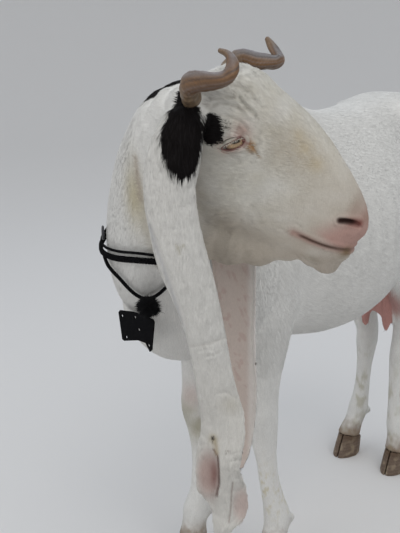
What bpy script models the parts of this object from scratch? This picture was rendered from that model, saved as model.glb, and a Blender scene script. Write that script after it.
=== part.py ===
"""Gulabi goat doe, life size, a still standing model with the head turned to its left.

Metres, Z up. The body is drawn with X towards the goat's nose end, Y to its left and Z = 0 at the floor.
The last step moves everything so that the origin is the middle of the bottom of the whole model.
"""
import math

import bmesh
import bpy
import numpy as np
from mathutils import Matrix, Vector
from mathutils.bvhtree import BVHTree

# Driving dimensions
GAP = 0.00017               # each side of a division between two parts, so neighbours stay 0.34 mm apart
VOXEL = 0.0055              # grid of the blended flesh
EAR_THICK = 0.0045          # thickness of an ear flap
EYE_R = 0.0160              # eyeball radius
LID_R = 0.0198              # outer radius of the lids over the eyeball
SOLE_Z = 0.0                # level of all eight soles
CORONET_Z = 0.046           # where hoof horn meets the skin, at the middle of a foot
CLEFT = 0.0040              # space between the two claws of a foot
POMPOM_R = 0.0190           # black wool ball on the lower cord
PLATE_THICK = 0.0030        # small black plate under it
RING_R = 0.0095             # ring at the side of the neck, to the middle of its wire
RING_WIRE = 0.0019          # radius of that wire

# Head frame: origin midway between the eyes, then the directions of the nose, the right side and the crown.
HEAD_AT = np.array([0.472, 0.184, 0.832])
HEAD_YAW = math.radians(115.0)
HEAD_PITCH = math.radians(-35.0)
HEAD_ROLL = math.radians(8.0)

# Torso stations: x, top z, then half widths and heights of the upper, widest and lower points, bottom z.
TORSO = [
    (-0.420, 0.765, 0.022, 0.755, 0.045, 0.715, 0.035, 0.680, 0.665),
    (-0.395, 0.805, 0.036, 0.790, 0.074, 0.715, 0.064, 0.640, 0.615),
    (-0.345, 0.842, 0.050, 0.826, 0.096, 0.725, 0.084, 0.605, 0.560),
    (-0.285, 0.870, 0.064, 0.850, 0.112, 0.745, 0.096, 0.580, 0.525),
    (-0.225, 0.880, 0.078, 0.856, 0.120, 0.735, 0.104, 0.558, 0.495),
    (-0.155, 0.869, 0.072, 0.842, 0.134, 0.700, 0.114, 0.524, 0.462),
    (-0.075, 0.853, 0.070, 0.826, 0.153, 0.668, 0.126, 0.494, 0.432),
    (0.000, 0.846, 0.068, 0.820, 0.160, 0.655, 0.128, 0.480, 0.418),
    (0.070, 0.850, 0.064, 0.820, 0.152, 0.655, 0.120, 0.478, 0.417),
    (0.135, 0.867, 0.056, 0.832, 0.136, 0.660, 0.106, 0.487, 0.429),
    (0.195, 0.872, 0.048, 0.836, 0.122, 0.660, 0.092, 0.500, 0.444),
    (0.255, 0.852, 0.048, 0.812, 0.114, 0.650, 0.080, 0.508, 0.454),
    (0.315, 0.812, 0.048, 0.770, 0.104, 0.630, 0.072, 0.510, 0.458),
    (0.368, 0.740, 0.044, 0.710, 0.086, 0.610, 0.056, 0.512, 0.464),
    (0.405, 0.680, 0.028, 0.664, 0.054, 0.590, 0.034, 0.528, 0.500),
]

# Neck stations: centre x, y, z, half width, half height above and below the centre.
NECK = [
    (0.200, 0.000, 0.700, 0.095, 0.150, 0.160),
    (0.290, -0.008, 0.672, 0.096, 0.150, 0.178),
    (0.370, -0.022, 0.658, 0.093, 0.142, 0.168),
    (0.430, -0.022, 0.688, 0.080, 0.118, 0.134),
    (0.467, 0.008, 0.738, 0.066, 0.096, 0.104),
    (0.490, 0.050, 0.785, 0.058, 0.087, 0.094),
    (0.504, 0.093, 0.816, 0.055, 0.081, 0.084),
    (0.502, 0.132, 0.835, 0.050, 0.064, 0.074),
]

# Head stations: distance ahead of the eyes, crown, upper, widest and lower points (out, up), chin.
HEAD = [
    (-0.118, -0.006, 0.026, -0.014, 0.034, -0.040, 0.026, -0.070, -0.080),
    (-0.092, 0.024, 0.040, 0.010, 0.051, -0.030, 0.041, -0.082, -0.098),
    (-0.062, 0.064, 0.046, 0.047, 0.056, -0.012, 0.045, -0.088, -0.112),
    (-0.032, 0.076, 0.045, 0.060, 0.057, -0.002, 0.046, -0.092, -0.118),
    (0.000, 0.073, 0.041, 0.056, 0.054, -0.004, 0.045, -0.092, -0.120),
    (0.030, 0.071, 0.034, 0.056, 0.047, -0.006, 0.042, -0.090, -0.121),
    (0.060, 0.068, 0.027, 0.054, 0.040, -0.012, 0.037, -0.086, -0.116),
    (0.090, 0.061, 0.023, 0.047, 0.036, -0.020, 0.032, -0.080, -0.107),
    (0.120, 0.050, 0.022, 0.036, 0.034, -0.026, 0.028, -0.076, -0.098),
    (0.148, 0.038, 0.023, 0.024, 0.034, -0.030, 0.026, -0.072, -0.090),
    (0.171, 0.026, 0.023, 0.012, 0.033, -0.031, 0.024, -0.067, -0.083),
    (0.190, 0.011, 0.019, -0.001, 0.027, -0.032, 0.018, -0.059, -0.071),
    (0.203, -0.011, 0.010, -0.016, 0.014, -0.030, 0.010, -0.043, -0.050),
]

# Leg stations, foot to body: x, y, z, half width across, half depth fore and aft.
FORE_RIGHT = [
    (0.309, -0.064, 0.030, 0.031, 0.033), (0.304, -0.064, 0.050, 0.027, 0.030),
    (0.300, -0.065, 0.075, 0.0225, 0.0245), (0.294, -0.065, 0.104, 0.0260, 0.0290),
    (0.286, -0.062, 0.130, 0.0225, 0.0245), (0.284, -0.061, 0.175, 0.0190, 0.0210),
    (0.285, -0.061, 0.240, 0.0200, 0.0220), (0.290, -0.061, 0.285, 0.0265, 0.0270),
    (0.295, -0.061, 0.320, 0.0310, 0.0330), (0.292, -0.062, 0.355, 0.0300, 0.0330),
    (0.284, -0.064, 0.400, 0.0340, 0.0410), (0.276, -0.067, 0.450, 0.0400, 0.0520),
    (0.268, -0.070, 0.520, 0.0460, 0.0640), (0.262, -0.070, 0.600, 0.0460, 0.0680),
]
FORE_LEFT = [
    (0.234, 0.068, 0.030, 0.031, 0.033), (0.228, 0.068, 0.050, 0.027, 0.030),
    (0.218, 0.067, 0.075, 0.0225, 0.0245), (0.212, 0.066, 0.104, 0.0260, 0.0290),
    (0.219, 0.065, 0.130, 0.0225, 0.0245), (0.236, 0.063, 0.187, 0.0190, 0.0210),
    (0.246, 0.062, 0.240, 0.0200, 0.0220), (0.254, 0.061, 0.285, 0.0265, 0.0270),
    (0.262, 0.061, 0.320, 0.0310, 0.0330), (0.264, 0.062, 0.355, 0.0300, 0.0330),
    (0.266, 0.064, 0.400, 0.0320, 0.0370), (0.264, 0.067, 0.450, 0.0370, 0.0450),
    (0.262, 0.070, 0.520, 0.0440, 0.0580), (0.260, 0.070, 0.600, 0.0460, 0.0660),
]
HIND_RIGHT = [
    (-0.268, -0.066, 0.030, 0.030, 0.034), (-0.275, -0.066, 0.050, 0.026, 0.030),
    (-0.292, -0.065, 0.076, 0.0220, 0.0240), (-0.307, -0.063, 0.106, 0.0250, 0.0290),
    (-0.314, -0.062, 0.135, 0.0210, 0.0245), (-0.318, -0.060, 0.190, 0.0185, 0.0215),
    (-0.321, -0.059, 0.240, 0.0205, 0.0260), (-0.325, -0.059, 0.278, 0.0245, 0.0360),
    (-0.326, -0.060, 0.312, 0.0250, 0.0360), (-0.314, -0.063, 0.352, 0.0270, 0.0400),
    (-0.296, -0.067, 0.400, 0.0340, 0.0540), (-0.276, -0.072, 0.455, 0.0420, 0.0720),
    (-0.262, -0.074, 0.520, 0.0460, 0.0960), (-0.268, -0.070, 0.610, 0.0460, 0.1120),
    (-0.272, -0.062, 0.690, 0.0400, 0.1100),
]
HIND_LEFT = [
    (-0.270, 0.062, 0.030, 0.030, 0.034), (-0.274, 0.062, 0.050, 0.026, 0.030),
    (-0.280, 0.058, 0.076, 0.0220, 0.0240), (-0.286, 0.053, 0.106, 0.0250, 0.0290),
    (-0.286, 0.049, 0.135, 0.0210, 0.0245), (-0.287, 0.045, 0.190, 0.0185, 0.0215),
    (-0.292, 0.043, 0.240, 0.0205, 0.0260), (-0.299, 0.044, 0.278, 0.0245, 0.0360),
    (-0.302, 0.047, 0.312, 0.0250, 0.0360), (-0.296, 0.054, 0.352, 0.0270, 0.0400),
    (-0.286, 0.062, 0.400, 0.0340, 0.0540), (-0.270, 0.070, 0.455, 0.0420, 0.0720),
    (-0.258, 0.074, 0.520, 0.0460, 0.0960), (-0.266, 0.070, 0.610, 0.0460, 0.1120),
    (-0.272, 0.062, 0.690, 0.0400, 0.1100),
]

# Tail stations: x, y, z, half width, half depth.
TAIL = [
    (-0.370, 0.000, 0.800, 0.024, 0.022), (-0.405, 0.000, 0.812, 0.022, 0.018),
    (-0.432, 0.000, 0.806, 0.020, 0.014), (-0.450, 0.000, 0.778, 0.018, 0.012),
    (-0.458, 0.000, 0.742, 0.016, 0.010), (-0.460, 0.000, 0.706, 0.011, 0.008),
    (-0.461, 0.000, 0.686, 0.004, 0.004),
]

# Ear stations: centre x, y, z, half width, half depth of the gutter, rim angles, turn about the drop line.
EAR_RIGHT = [
    (0.514, 0.145, 0.862, 0.018, 0.013, 100, 100, 10), (0.543, 0.156, 0.860, 0.023, 0.017, 105, 105, 10),
    (0.563, 0.158, 0.845, 0.029, 0.022, 105, 105, 8), (0.574, 0.154, 0.812, 0.036, 0.024, 108, 108, 6),
    (0.579, 0.149, 0.772, 0.0350, 0.022, 110, 112, 4), (0.574, 0.151, 0.728, 0.0340, 0.019, 112, 116, 2),
    (0.565, 0.155, 0.684, 0.0345, 0.018, 116, 120, 0), (0.551, 0.161, 0.640, 0.0320, 0.017, 118, 124, 0),
    (0.537, 0.165, 0.596, 0.0290, 0.016, 120, 126, 0), (0.525, 0.166, 0.556, 0.0280, 0.015, 118, 122, 0),
    (0.515, 0.166, 0.518, 0.0285, 0.013, 112, 116, -4), (0.507, 0.168, 0.480, 0.0310, 0.011, 104, 108, -8),
    (0.498, 0.170, 0.445, 0.0370, 0.011, 98, 100, -12), (0.496, 0.169, 0.410, 0.0400, 0.012, 96, 98, -14),
    (0.499, 0.164, 0.376, 0.0400, 0.013, 98, 96, -14), (0.497, 0.164, 0.345, 0.0385, 0.012, 98, 96, -12),
    (0.487, 0.170, 0.312, 0.0340, 0.010, 94, 94, -8), (0.483, 0.172, 0.282, 0.0310, 0.008, 90, 92, -4),
    (0.487, 0.168, 0.256, 0.0230, 0.006, 88, 90, 0), (0.491, 0.165, 0.236, 0.0110, 0.004, 86, 86, 0),
    (0.492, 0.164, 0.224, 0.0040, 0.003, 84, 84, 0),
]
EAR_LEFT = [
    (0.462, 0.122, 0.876, 0.018, 0.013, 100, 100, 0), (0.436, 0.109, 0.873, 0.023, 0.017, 105, 105, 0),
    (0.414, 0.101, 0.856, 0.030, 0.022, 105, 105, 0), (0.410, 0.105, 0.822, 0.034, 0.024, 104, 104, 0),
    (0.410, 0.109, 0.782, 0.036, 0.022, 100, 100, 0), (0.409, 0.109, 0.740, 0.037, 0.019, 98, 98, 0),
    (0.407, 0.109, 0.698, 0.037, 0.017, 96, 98, 0), (0.404, 0.109, 0.655, 0.037, 0.016, 96, 98, 0),
    (0.402, 0.110, 0.612, 0.036, 0.015, 96, 98, 0), (0.399, 0.111, 0.570, 0.034, 0.014, 98, 100, 0),
    (0.397, 0.113, 0.528, 0.031, 0.013, 100, 102, 0), (0.395, 0.116, 0.488, 0.029, 0.011, 100, 104, 0),
    (0.392, 0.117, 0.450, 0.027, 0.010, 98, 102, 4), (0.387, 0.115, 0.414, 0.026, 0.011, 96, 98, 8),
    (0.382, 0.113, 0.380, 0.023, 0.011, 96, 96, 12), (0.380, 0.111, 0.350, 0.020, 0.009, 94, 94, 14),
    (0.379, 0.110, 0.322, 0.016, 0.007, 90, 92, 14), (0.379, 0.110, 0.302, 0.011, 0.005, 88, 90, 14),
    (0.379, 0.110, 0.288, 0.004, 0.003, 84, 84, 14),
]

# Horn stations in the head frame: ahead, up, out, half width, half thickness, twist in degrees.
HORN_RIGHT = [
    (-0.068, 0.000, 0.026, 0.0150, 0.0120, 0), (-0.069, 0.010, 0.048, 0.0148, 0.0120, 10),
    (-0.074, 0.021, 0.066, 0.0135, 0.0112, 30), (-0.077, 0.032, 0.078, 0.0128, 0.0108, 55),
    (-0.071, 0.042, 0.084, 0.0128, 0.0106, 80), (-0.060, 0.051, 0.084, 0.0126, 0.0104, 110),
    (-0.050, 0.059, 0.084, 0.0122, 0.0098, 140), (-0.043, 0.068, 0.083, 0.0114, 0.0090, 175),
    (-0.041, 0.077, 0.081, 0.0102, 0.0080, 210), (-0.044, 0.085, 0.076, 0.0086, 0.0068, 245),
    (-0.052, 0.089, 0.071, 0.0068, 0.0056, 280), (-0.061, 0.088, 0.067, 0.0052, 0.0044, 310),
    (-0.071, 0.084, 0.064, 0.0028, 0.0026, 340),
]
HORN_LEFT = [
    (-0.068, 0.000, 0.026, 0.0150, 0.0120, 0), (-0.070, 0.022, 0.034, 0.0145, 0.0118, 10),
    (-0.070, 0.042, 0.042, 0.0135, 0.0112, 30), (-0.066, 0.057, 0.051, 0.0128, 0.0108, 60),
    (-0.055, 0.067, 0.060, 0.0126, 0.0104, 95), (-0.043, 0.073, 0.069, 0.0122, 0.0100, 130),
    (-0.033, 0.078, 0.076, 0.0114, 0.0092, 170), (-0.030, 0.086, 0.082, 0.0098, 0.0078, 210),
    (-0.037, 0.092, 0.087, 0.0080, 0.0064, 250), (-0.049, 0.094, 0.091, 0.0062, 0.0050, 290),
    (-0.064, 0.093, 0.093, 0.0030, 0.0028, 330),
]

# Line of the upper neck cord round the neck, front first, then the left side, the nape and the right side.
NECK_LINE = [
    (0.5355, 0.012, 0.662), (0.530, 0.045, 0.666), (0.512, 0.068, 0.663), (0.478, 0.084, 0.652),
    (0.438, 0.088, 0.650), (0.398, 0.088, 0.690), (0.366, 0.076, 0.756), (0.352, 0.040, 0.815),
    (0.348, -0.014, 0.835), (0.354, -0.068, 0.808), (0.376, -0.106, 0.756), (0.414, -0.120, 0.708),
    (0.458, -0.110, 0.676), (0.494, -0.080, 0.663), (0.522, -0.036, 0.660),
]
COLLAR = [("collar_upper", 0.0019, 0.0), ("collar_braid", 0.0036, 0.0105)]     # name, radius, how far down
# The lower cord hangs from the braid in a V down the front of the neck.
LOWER_CORD = [
    (0.512, -0.046, 0.644), (0.519, -0.034, 0.634), (0.528, -0.018, 0.626), (0.531, -0.003, 0.618),
    (0.528, 0.008, 0.606),
    (0.518, 0.018, 0.592), (0.504, 0.028, 0.581), (0.492, 0.040, 0.590), (0.483, 0.050, 0.604),
    (0.476, 0.060, 0.618), (0.470, 0.070, 0.626),
]
LOWER_R = 0.0026
POMPOM_AT = (0.5188, 0.0455, 0.5820)
PLATE_AT = (0.500, 0.0015, 0.530)
RING_AT = (0.5135, -0.0560, 0.6765)


def spline(rows, count):
    """Smooth rows of numbers: a Catmull-Rom curve through them, sampled evenly by chord length."""
    p = np.asarray(rows, float)
    reach = p[:, : min(3, p.shape[1])]
    step = np.linalg.norm(np.diff(reach, axis=0), axis=1)
    t = np.concatenate([[0.0], np.cumsum(np.maximum(step, 1e-9))])
    slope = np.gradient(p, t, axis=0)
    u = np.linspace(0.0, t[-1], count)
    k = np.clip(np.searchsorted(t, u, side="right") - 1, 0, len(t) - 2)
    h = (t[k + 1] - t[k])[:, None]
    f = ((u - t[k]) / (t[k + 1] - t[k]))[:, None]
    a = 2 * f**3 - 3 * f**2 + 1
    b = f**3 - 2 * f**2 + f
    c = -2 * f**3 + 3 * f**2
    d = f**3 - f**2
    return a * p[k] + b * h * slope[k] + c * p[k + 1] + d * h * slope[k + 1]


def closed_loop(points, count):
    """A smooth closed loop through a few points, with evenly numbered samples between each two."""
    p = np.asarray(points, float)
    n = len(p)
    each = count // n
    out = []
    for i in range(n):
        p0, p1, p2, p3 = p[i - 1], p[i], p[(i + 1) % n], p[(i + 2) % n]
        for j in range(each):
            f = j / each
            m1 = 0.5 * (p2 - p0)
            m2 = 0.5 * (p3 - p1)
            out.append((2 * f**3 - 3 * f**2 + 1) * p1 + (f**3 - 2 * f**2 + f) * m1
                       + (3 * f**2 - 2 * f**3) * p2 + (f**3 - f**2) * m2)
    return np.array(out)


def loft(rings, closed=False):
    """Vertices and faces of a tube through rings of points, its ends closed by fans."""
    rings = np.asarray(rings, float)
    n, m = rings.shape[:2]
    verts = rings.reshape(-1, 3).tolist()
    faces = []
    last = n if closed else n - 1
    for i in range(last):
        a, b = i * m, ((i + 1) % n) * m
        for j in range(m):
            k = (j + 1) % m
            faces.append((a + j, a + k, b + k))
            faces.append((a + j, b + k, b + j))
    if not closed:
        for base, ring, flip in ((0, rings[0], False), ((n - 1) * m, rings[-1], True)):
            hub = len(verts)
            verts.append(ring.mean(axis=0).tolist())
            for j in range(m):
                k = (j + 1) % m
                faces.append((base + j, base + k, hub) if flip else (base + k, base + j, hub))
    return verts, faces


def solid(name, verts, faces):
    """A mesh object whose faces all point outwards."""
    mesh = bpy.data.meshes.new(name)
    mesh.from_pydata([tuple(v) for v in verts], [], faces)
    bm = bmesh.new()
    bm.from_mesh(mesh)
    bmesh.ops.recalc_face_normals(bm, faces=bm.faces)
    if bm.calc_volume(signed=True) < 0:
        bmesh.ops.reverse_faces(bm, faces=bm.faces)
    bm.to_mesh(mesh)
    bm.free()
    ob = bpy.data.objects.new(name, mesh)
    bpy.context.collection.objects.link(ob)
    return ob


def head_axes():
    """Nose, right-side and crown directions of the turned, lowered and tilted head."""
    flat = np.array([math.cos(HEAD_YAW), math.sin(HEAD_YAW), 0.0])
    nose = flat * math.cos(HEAD_PITCH) + np.array([0.0, 0.0, math.sin(HEAD_PITCH)])
    side = np.cross(flat, [0.0, 0.0, 1.0])
    up = np.cross(side, nose)
    right = side * math.cos(HEAD_ROLL) - up * math.sin(HEAD_ROLL)
    crown = up * math.cos(HEAD_ROLL) + side * math.sin(HEAD_ROLL)
    return nose, right, crown


NOSE, RIGHT, CROWN = head_axes()


def in_head(ahead, up, out):
    """A point of the head frame in model space."""
    return HEAD_AT + NOSE * ahead + CROWN * up + RIGHT * out


def control_ring(top, up_y, up_z, mid_y, mid_z, low_y, low_z, bottom, count):
    """Half the outline of a body section mirrored into a smooth closed loop of (sideways, height)."""
    loop = [(0, top), (up_y, up_z), (mid_y, mid_z), (low_y, low_z),
            (0, bottom), (-low_y, low_z), (-mid_y, mid_z), (-up_y, up_z)]
    return closed_loop(loop, count)


def torso_solid():
    rings = []
    for row in spline(TORSO, 34):
        loop = control_ring(*row[1:], 32)
        rings.append([(row[0], y, z) for y, z in loop])
    return loft(rings)


def head_solid():
    rings = []
    for row in spline(HEAD, 30):
        loop = control_ring(*row[1:], 32)
        rings.append([in_head(row[0], z, y) for y, z in loop])
    return loft(rings)


def swept(rows, count, around, up):
    """A tube along a curve with rows of centre, half width and half heights, or half width and depth."""
    line = spline(rows, count)
    centre = line[:, :3]
    ahead = np.gradient(centre, axis=0)
    ahead /= np.linalg.norm(ahead, axis=1)[:, None]
    rings = []
    for c, t, row in zip(centre, ahead, line):
        side = np.cross(t, up)
        side /= np.linalg.norm(side)
        top = np.cross(side, t)
        low = row[5] if len(row) > 5 else row[4]
        ring = []
        for j in range(around):
            a = 2 * math.pi * j / around
            lift = row[4] if math.sin(a) > 0 else low
            ring.append(c + side * row[3] * math.cos(a) + top * lift * math.sin(a))
        rings.append(ring)
    return loft(rings)


def ball(centre, radii, axes=None, rings=14, around=20):
    """An ellipsoid."""
    axes = np.eye(3) if axes is None else np.asarray(axes, float)
    loops = []
    for i in range(1, rings):
        polar = math.pi * i / rings
        loop = []
        for j in range(around):
            a = 2 * math.pi * j / around
            local = (radii[0] * math.cos(polar), radii[1] * math.sin(polar) * math.cos(a),
                     radii[2] * math.sin(polar) * math.sin(a))
            loop.append(np.asarray(centre) + axes.T @ np.array(local))
        loops.append(loop)
    return loft(loops)


def turned(yaw=0.0, pitch=0.0):
    """Axes for an ellipsoid: its length leans up by pitch and turns left by yaw, in degrees."""
    y, p = math.radians(yaw), math.radians(pitch)
    a = np.array([math.cos(p) * math.cos(y), math.cos(p) * math.sin(y), math.sin(p)])
    b = np.array([-math.sin(y), math.cos(y), 0.0])
    return np.array([a, b, np.cross(a, b)])


def flesh_shapes():
    """All the closed shapes whose blend is the skin-covered body."""
    shapes = [torso_solid(), head_solid()]
    shapes.append(swept(NECK, 24, 28, (0, 0, 1)))
    for rows in (FORE_RIGHT, FORE_LEFT, HIND_RIGHT, HIND_LEFT):
        shapes.append(swept(rows, 40, 20, (1, 0, 0)))
    shapes.append(swept(TAIL, 16, 16, (0, 1, 0.001)))
    for side in (-1, 1):
        # shoulder blade and arm
        shapes.append(ball((0.235, side * 0.078, 0.690), (0.150, 0.036, 0.070), turned(0, 68)))
        shapes.append(ball((0.300, side * 0.072, 0.580), (0.085, 0.040, 0.050), turned(0, 130)))
        # thigh, hip point and stifle
        shapes.append(ball((-0.285, side * 0.076, 0.620), (0.150, 0.044, 0.098), turned(0, 78)))
        shapes.append(ball((-0.208, side * 0.080, 0.836), (0.044, 0.022, 0.020), turned(0, 20)))
        shapes.append(ball((-0.212, side * 0.082, 0.545), (0.050, 0.034, 0.060), turned(0, 60)))
        shapes.append(ball((-0.396, side * 0.040, 0.742), (0.028, 0.026, 0.026)))
        # brow over the eye, cheek and jaw muscle
        axes = np.array([NOSE, CROWN, RIGHT])
        shapes.append(ball(in_head(-0.004, 0.006, side * 0.040), (0.036, 0.027, 0.020), axes))
        shapes.append(ball(in_head(0.016, -0.066, side * 0.024), (0.058, 0.050, 0.027), axes))
        shapes.append(ball(in_head(-0.074, 0.000, side * 0.044), (0.026, 0.026, 0.022), axes))
    # chin
    axes = np.array([NOSE, CROWN, RIGHT])
    shapes.append(ball(in_head(0.183, -0.072, 0.0), (0.019, 0.019, 0.017), axes))
    # deep brisket under the neck
    shapes.append(ball((0.374, -0.026, 0.562), (0.104, 0.098, 0.122)))
    # loose skin from the chin to the throat
    for ahead, up, size in ((0.140, -0.078, 0.014), (0.116, -0.095, 0.022), (0.094, -0.117, 0.031),
                            (0.064, -0.134, 0.040), (0.030, -0.148, 0.048), (-0.004, -0.150, 0.056),
                            (-0.036, -0.130, 0.058)):
        shapes.append(ball(in_head(ahead, up, 0.0), (0.034, size * 0.9, size * 0.8), axes))
    # dewclaws
    for rows in (FORE_RIGHT, FORE_LEFT, HIND_RIGHT, HIND_LEFT):
        x, y, z = rows[3][:3]
        for side in (-1, 1):
            shapes.append(ball((x - 0.028, y + side * 0.013, z - 0.012), (0.013, 0.009, 0.012)))
    return shapes


def blended(shapes):
    """The shapes made into one smooth closed skin on a fine grid."""
    verts, faces = [], []
    for v, f in shapes:
        base = len(verts)
        verts.extend(v)
        faces.extend([tuple(i + base for i in face) for face in f])
    ob = solid("flesh", verts, faces)
    grid = ob.modifiers.new("grid", "REMESH")
    grid.mode = "VOXEL"
    grid.voxel_size = VOXEL
    ease = ob.modifiers.new("ease", "SMOOTH")
    ease.factor = 0.5
    ease.iterations = 7
    return applied(ob)


def applied(ob):
    """The object with its modifiers worked into its mesh."""
    graph = bpy.context.evaluated_depsgraph_get()
    mesh = bpy.data.meshes.new_from_object(ob.evaluated_get(graph))
    old = ob.data
    ob.modifiers.clear()
    ob.data = mesh
    bpy.data.meshes.remove(old)
    return ob


def islands(bm):
    """The connected groups of faces of a mesh."""
    left = set(bm.faces)
    groups = []
    while left:
        seed = left.pop()
        group = [seed]
        queue = [seed]
        while queue:
            face = queue.pop()
            for edge in face.edges:
                for other in edge.link_faces:
                    if other in left:
                        left.remove(other)
                        group.append(other)
                        queue.append(other)
        groups.append(group)
    return groups


def clip(bm, at, away, low, high):
    """Cut the part of a mesh inside a box by a plane, drop what lies beyond it there, and close the cut."""
    at, away = Vector(at), Vector(away).normalized()
    low, high = Vector(low), Vector(high)

    def inside(face):
        c = face.calc_center_median()
        return all(low[i] <= c[i] <= high[i] for i in range(3))

    faces = [f for f in bm.faces if inside(f)]
    edges = list({e for f in faces for e in f.edges})
    verts = list({v for f in faces for v in f.verts})
    bmesh.ops.bisect_plane(bm, geom=verts + edges + faces, plane_co=at, plane_no=away, dist=1e-6)
    beyond = [f for f in bm.faces if inside(f) and (f.calc_center_median() - at).dot(away) > 0]
    bmesh.ops.delete(bm, geom=beyond, context="FACES")
    rim = [e for e in bm.edges if e.is_boundary and all(abs((v.co - at).dot(away)) < 2e-5 for v in e.verts)
           and all((v.co - at).dot(away) < 1e-5 for f in e.link_faces for v in f.verts)]
    if rim:
        bmesh.ops.holes_fill(bm, edges=rim, sides=0)


def piece(name, source, cuts, seed, triangles):
    """One named division of the blended skin: clipped, thinned to a number of triangles, and kept closed."""
    bm = bmesh.new()
    bm.from_mesh(source.data)
    for at, away, low, high in cuts:
        clip(bm, Vector(at) - Vector(away).normalized() * GAP, away, low, high)
    seed = Vector(seed)
    best = min(islands(bm), key=lambda group: min((f.calc_center_median() - seed).length for f in group))
    drop = set(bm.faces) - set(best)
    bmesh.ops.delete(bm, geom=list(drop), context="FACES")
    loose = [v for v in bm.verts if not v.link_faces]
    bmesh.ops.delete(bm, geom=loose, context="VERTS")
    bmesh.ops.triangulate(bm, faces=bm.faces)
    mesh = bpy.data.meshes.new(name)
    bm.to_mesh(mesh)
    count = len(bm.faces)
    bm.free()
    ob = bpy.data.objects.new(name, mesh)
    bpy.context.collection.objects.link(ob)
    thin = ob.modifiers.new("thin", "DECIMATE")
    thin.ratio = min(1.0, triangles / count)
    thin.use_collapse_triangulate = True
    applied(ob)
    for vert in ob.data.vertices:
        for at, away, low, high in cuts:
            n = Vector(away).normalized()
            over = (vert.co - Vector(at)).dot(n) + GAP
            near = all(low[i] - 0.01 <= vert.co[i] <= high[i] + 0.01 for i in range(3))
            if near and 0 < over < 0.004:
                vert.co -= n * over
    return ob


def swollen(ob, by):
    """A hidden copy of a solid pushed out along its surface, to cut a fitting hollow in a neighbour."""
    mesh = ob.data.copy()
    copy = bpy.data.objects.new(ob.name + "_swollen", mesh)
    bpy.context.collection.objects.link(copy)
    bm = bmesh.new()
    bm.from_mesh(mesh)
    bm.normal_update()
    moves = [v.normal * by for v in bm.verts]
    for vert, move in zip(bm.verts, moves):
        vert.co += move
    bm.to_mesh(mesh)
    bm.free()
    return copy


def combine(ob, others, operation, solver="MANIFOLD"):
    """Join or cut a solid by a group of closed helper solids, then remove the helpers."""
    group = bpy.data.collections.new("helpers")
    bpy.context.scene.collection.children.link(group)
    for other in others:
        for home in list(other.users_collection):
            home.objects.unlink(other)
        group.objects.link(other)
        other.hide_render = True
        other.display_type = "WIRE"
    tool = ob.modifiers.new(operation.lower(), "BOOLEAN")
    tool.operation = operation
    tool.operand_type = "COLLECTION"
    tool.collection = group
    tool.solver = solver
    applied(ob)
    for other in list(group.objects):
        bpy.data.objects.remove(other)
    bpy.data.collections.remove(group)
    keep_largest(ob)
    return ob


def keep_largest(ob):
    """Keep the biggest closed surface of a solid and merge the specks a cut leaves."""
    bm = bmesh.new()
    bm.from_mesh(ob.data)
    bmesh.ops.remove_doubles(bm, verts=bm.verts, dist=2e-6)
    bmesh.ops.triangulate(bm, faces=bm.faces)
    groups = islands(bm)
    best = max(groups, key=lambda group: sum(f.calc_area() for f in group))
    bmesh.ops.delete(bm, geom=list(set(bm.faces) - set(best)), context="FACES")
    bmesh.ops.delete(bm, geom=[v for v in bm.verts if not v.link_faces], context="VERTS")
    bm.to_mesh(ob.data)
    bm.free()


def ear_solid(name, rows, out, count):
    """A hanging ear: a gutter-shaped flap with its rims curled in, of even thickness."""
    line = spline(rows, count)
    centre = line[:, :3]
    down = np.gradient(centre, axis=0)
    down /= np.linalg.norm(down, axis=1)[:, None]
    arc = 9
    verts, faces = [], []
    lean = np.asarray(out, float) + np.array([0.0, 0.0, 1.0])
    for c, t, row in zip(centre, down, line):
        back = lean - t * lean.dot(t)
        back /= np.linalg.norm(back)
        wide = np.cross(t, back)
        turn = math.radians(row[7])
        across = wide * math.cos(turn) + back * math.sin(turn)
        back = back * math.cos(turn) - wide * math.sin(turn)
        w, h = row[3], row[4]
        w_in, h_in = max(w - EAR_THICK, 0.3 * w), h - EAR_THICK
        angles = np.radians(np.linspace(-row[5], row[6], arc))
        for a in angles:
            verts.append(c + across * w * math.sin(a) + back * h * math.cos(a))
        for a in angles:
            verts.append(c + across * w_in * math.sin(a) + back * h_in * math.cos(a))
    stride = 2 * arc
    for i in range(len(line) - 1):
        for j in range(arc - 1):
            o = i * stride + j
            n = o + stride
            faces.append((o, o + 1, n + 1))
            faces.append((o, n + 1, n))
            o, n = o + arc, n + arc
            faces.append((o, n + 1, o + 1))
            faces.append((o, n, n + 1))
        for j in (0, arc - 1):
            o = i * stride + j
            n = o + stride
            faces.append((o, n, n + arc))
            faces.append((o, n + arc, o + arc))
    for i in (0, len(line) - 1):
        for j in range(arc - 1):
            o = i * stride + j
            faces.append((o, o + 1, o + arc + 1))
            faces.append((o, o + arc + 1, o + arc))
    return solid(name, verts, faces)


def horn_solid(name, side):
    """A short horn that leaves the skull sideways, twists, and curls up and back at its end."""
    line = spline(HORN_RIGHT if side > 0 else HORN_LEFT, 27)
    centre = np.array([in_head(r[0], r[1], side * r[2]) for r in line])
    ahead = np.gradient(centre, axis=0)
    ahead /= np.linalg.norm(ahead, axis=1)[:, None]
    rings = []
    normal = np.cross(ahead[0], NOSE)
    for c, t, row in zip(centre, ahead, line):
        normal = normal - t * normal.dot(t)
        normal /= np.linalg.norm(normal)
        other = np.cross(t, normal)
        twist = math.radians(row[5]) * side
        a_axis = normal * math.cos(twist) + other * math.sin(twist)
        b_axis = other * math.cos(twist) - normal * math.sin(twist)
        ring = []
        for j in range(12):
            a = 2 * math.pi * j / 12
            ridge = 1.0 + 0.10 * math.cos(a) ** 6
            ring.append(c + a_axis * row[3] * ridge * math.cos(a) + b_axis * row[4] * math.sin(a))
        rings.append(ring)
    return solid(name, *loft(rings))


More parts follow.
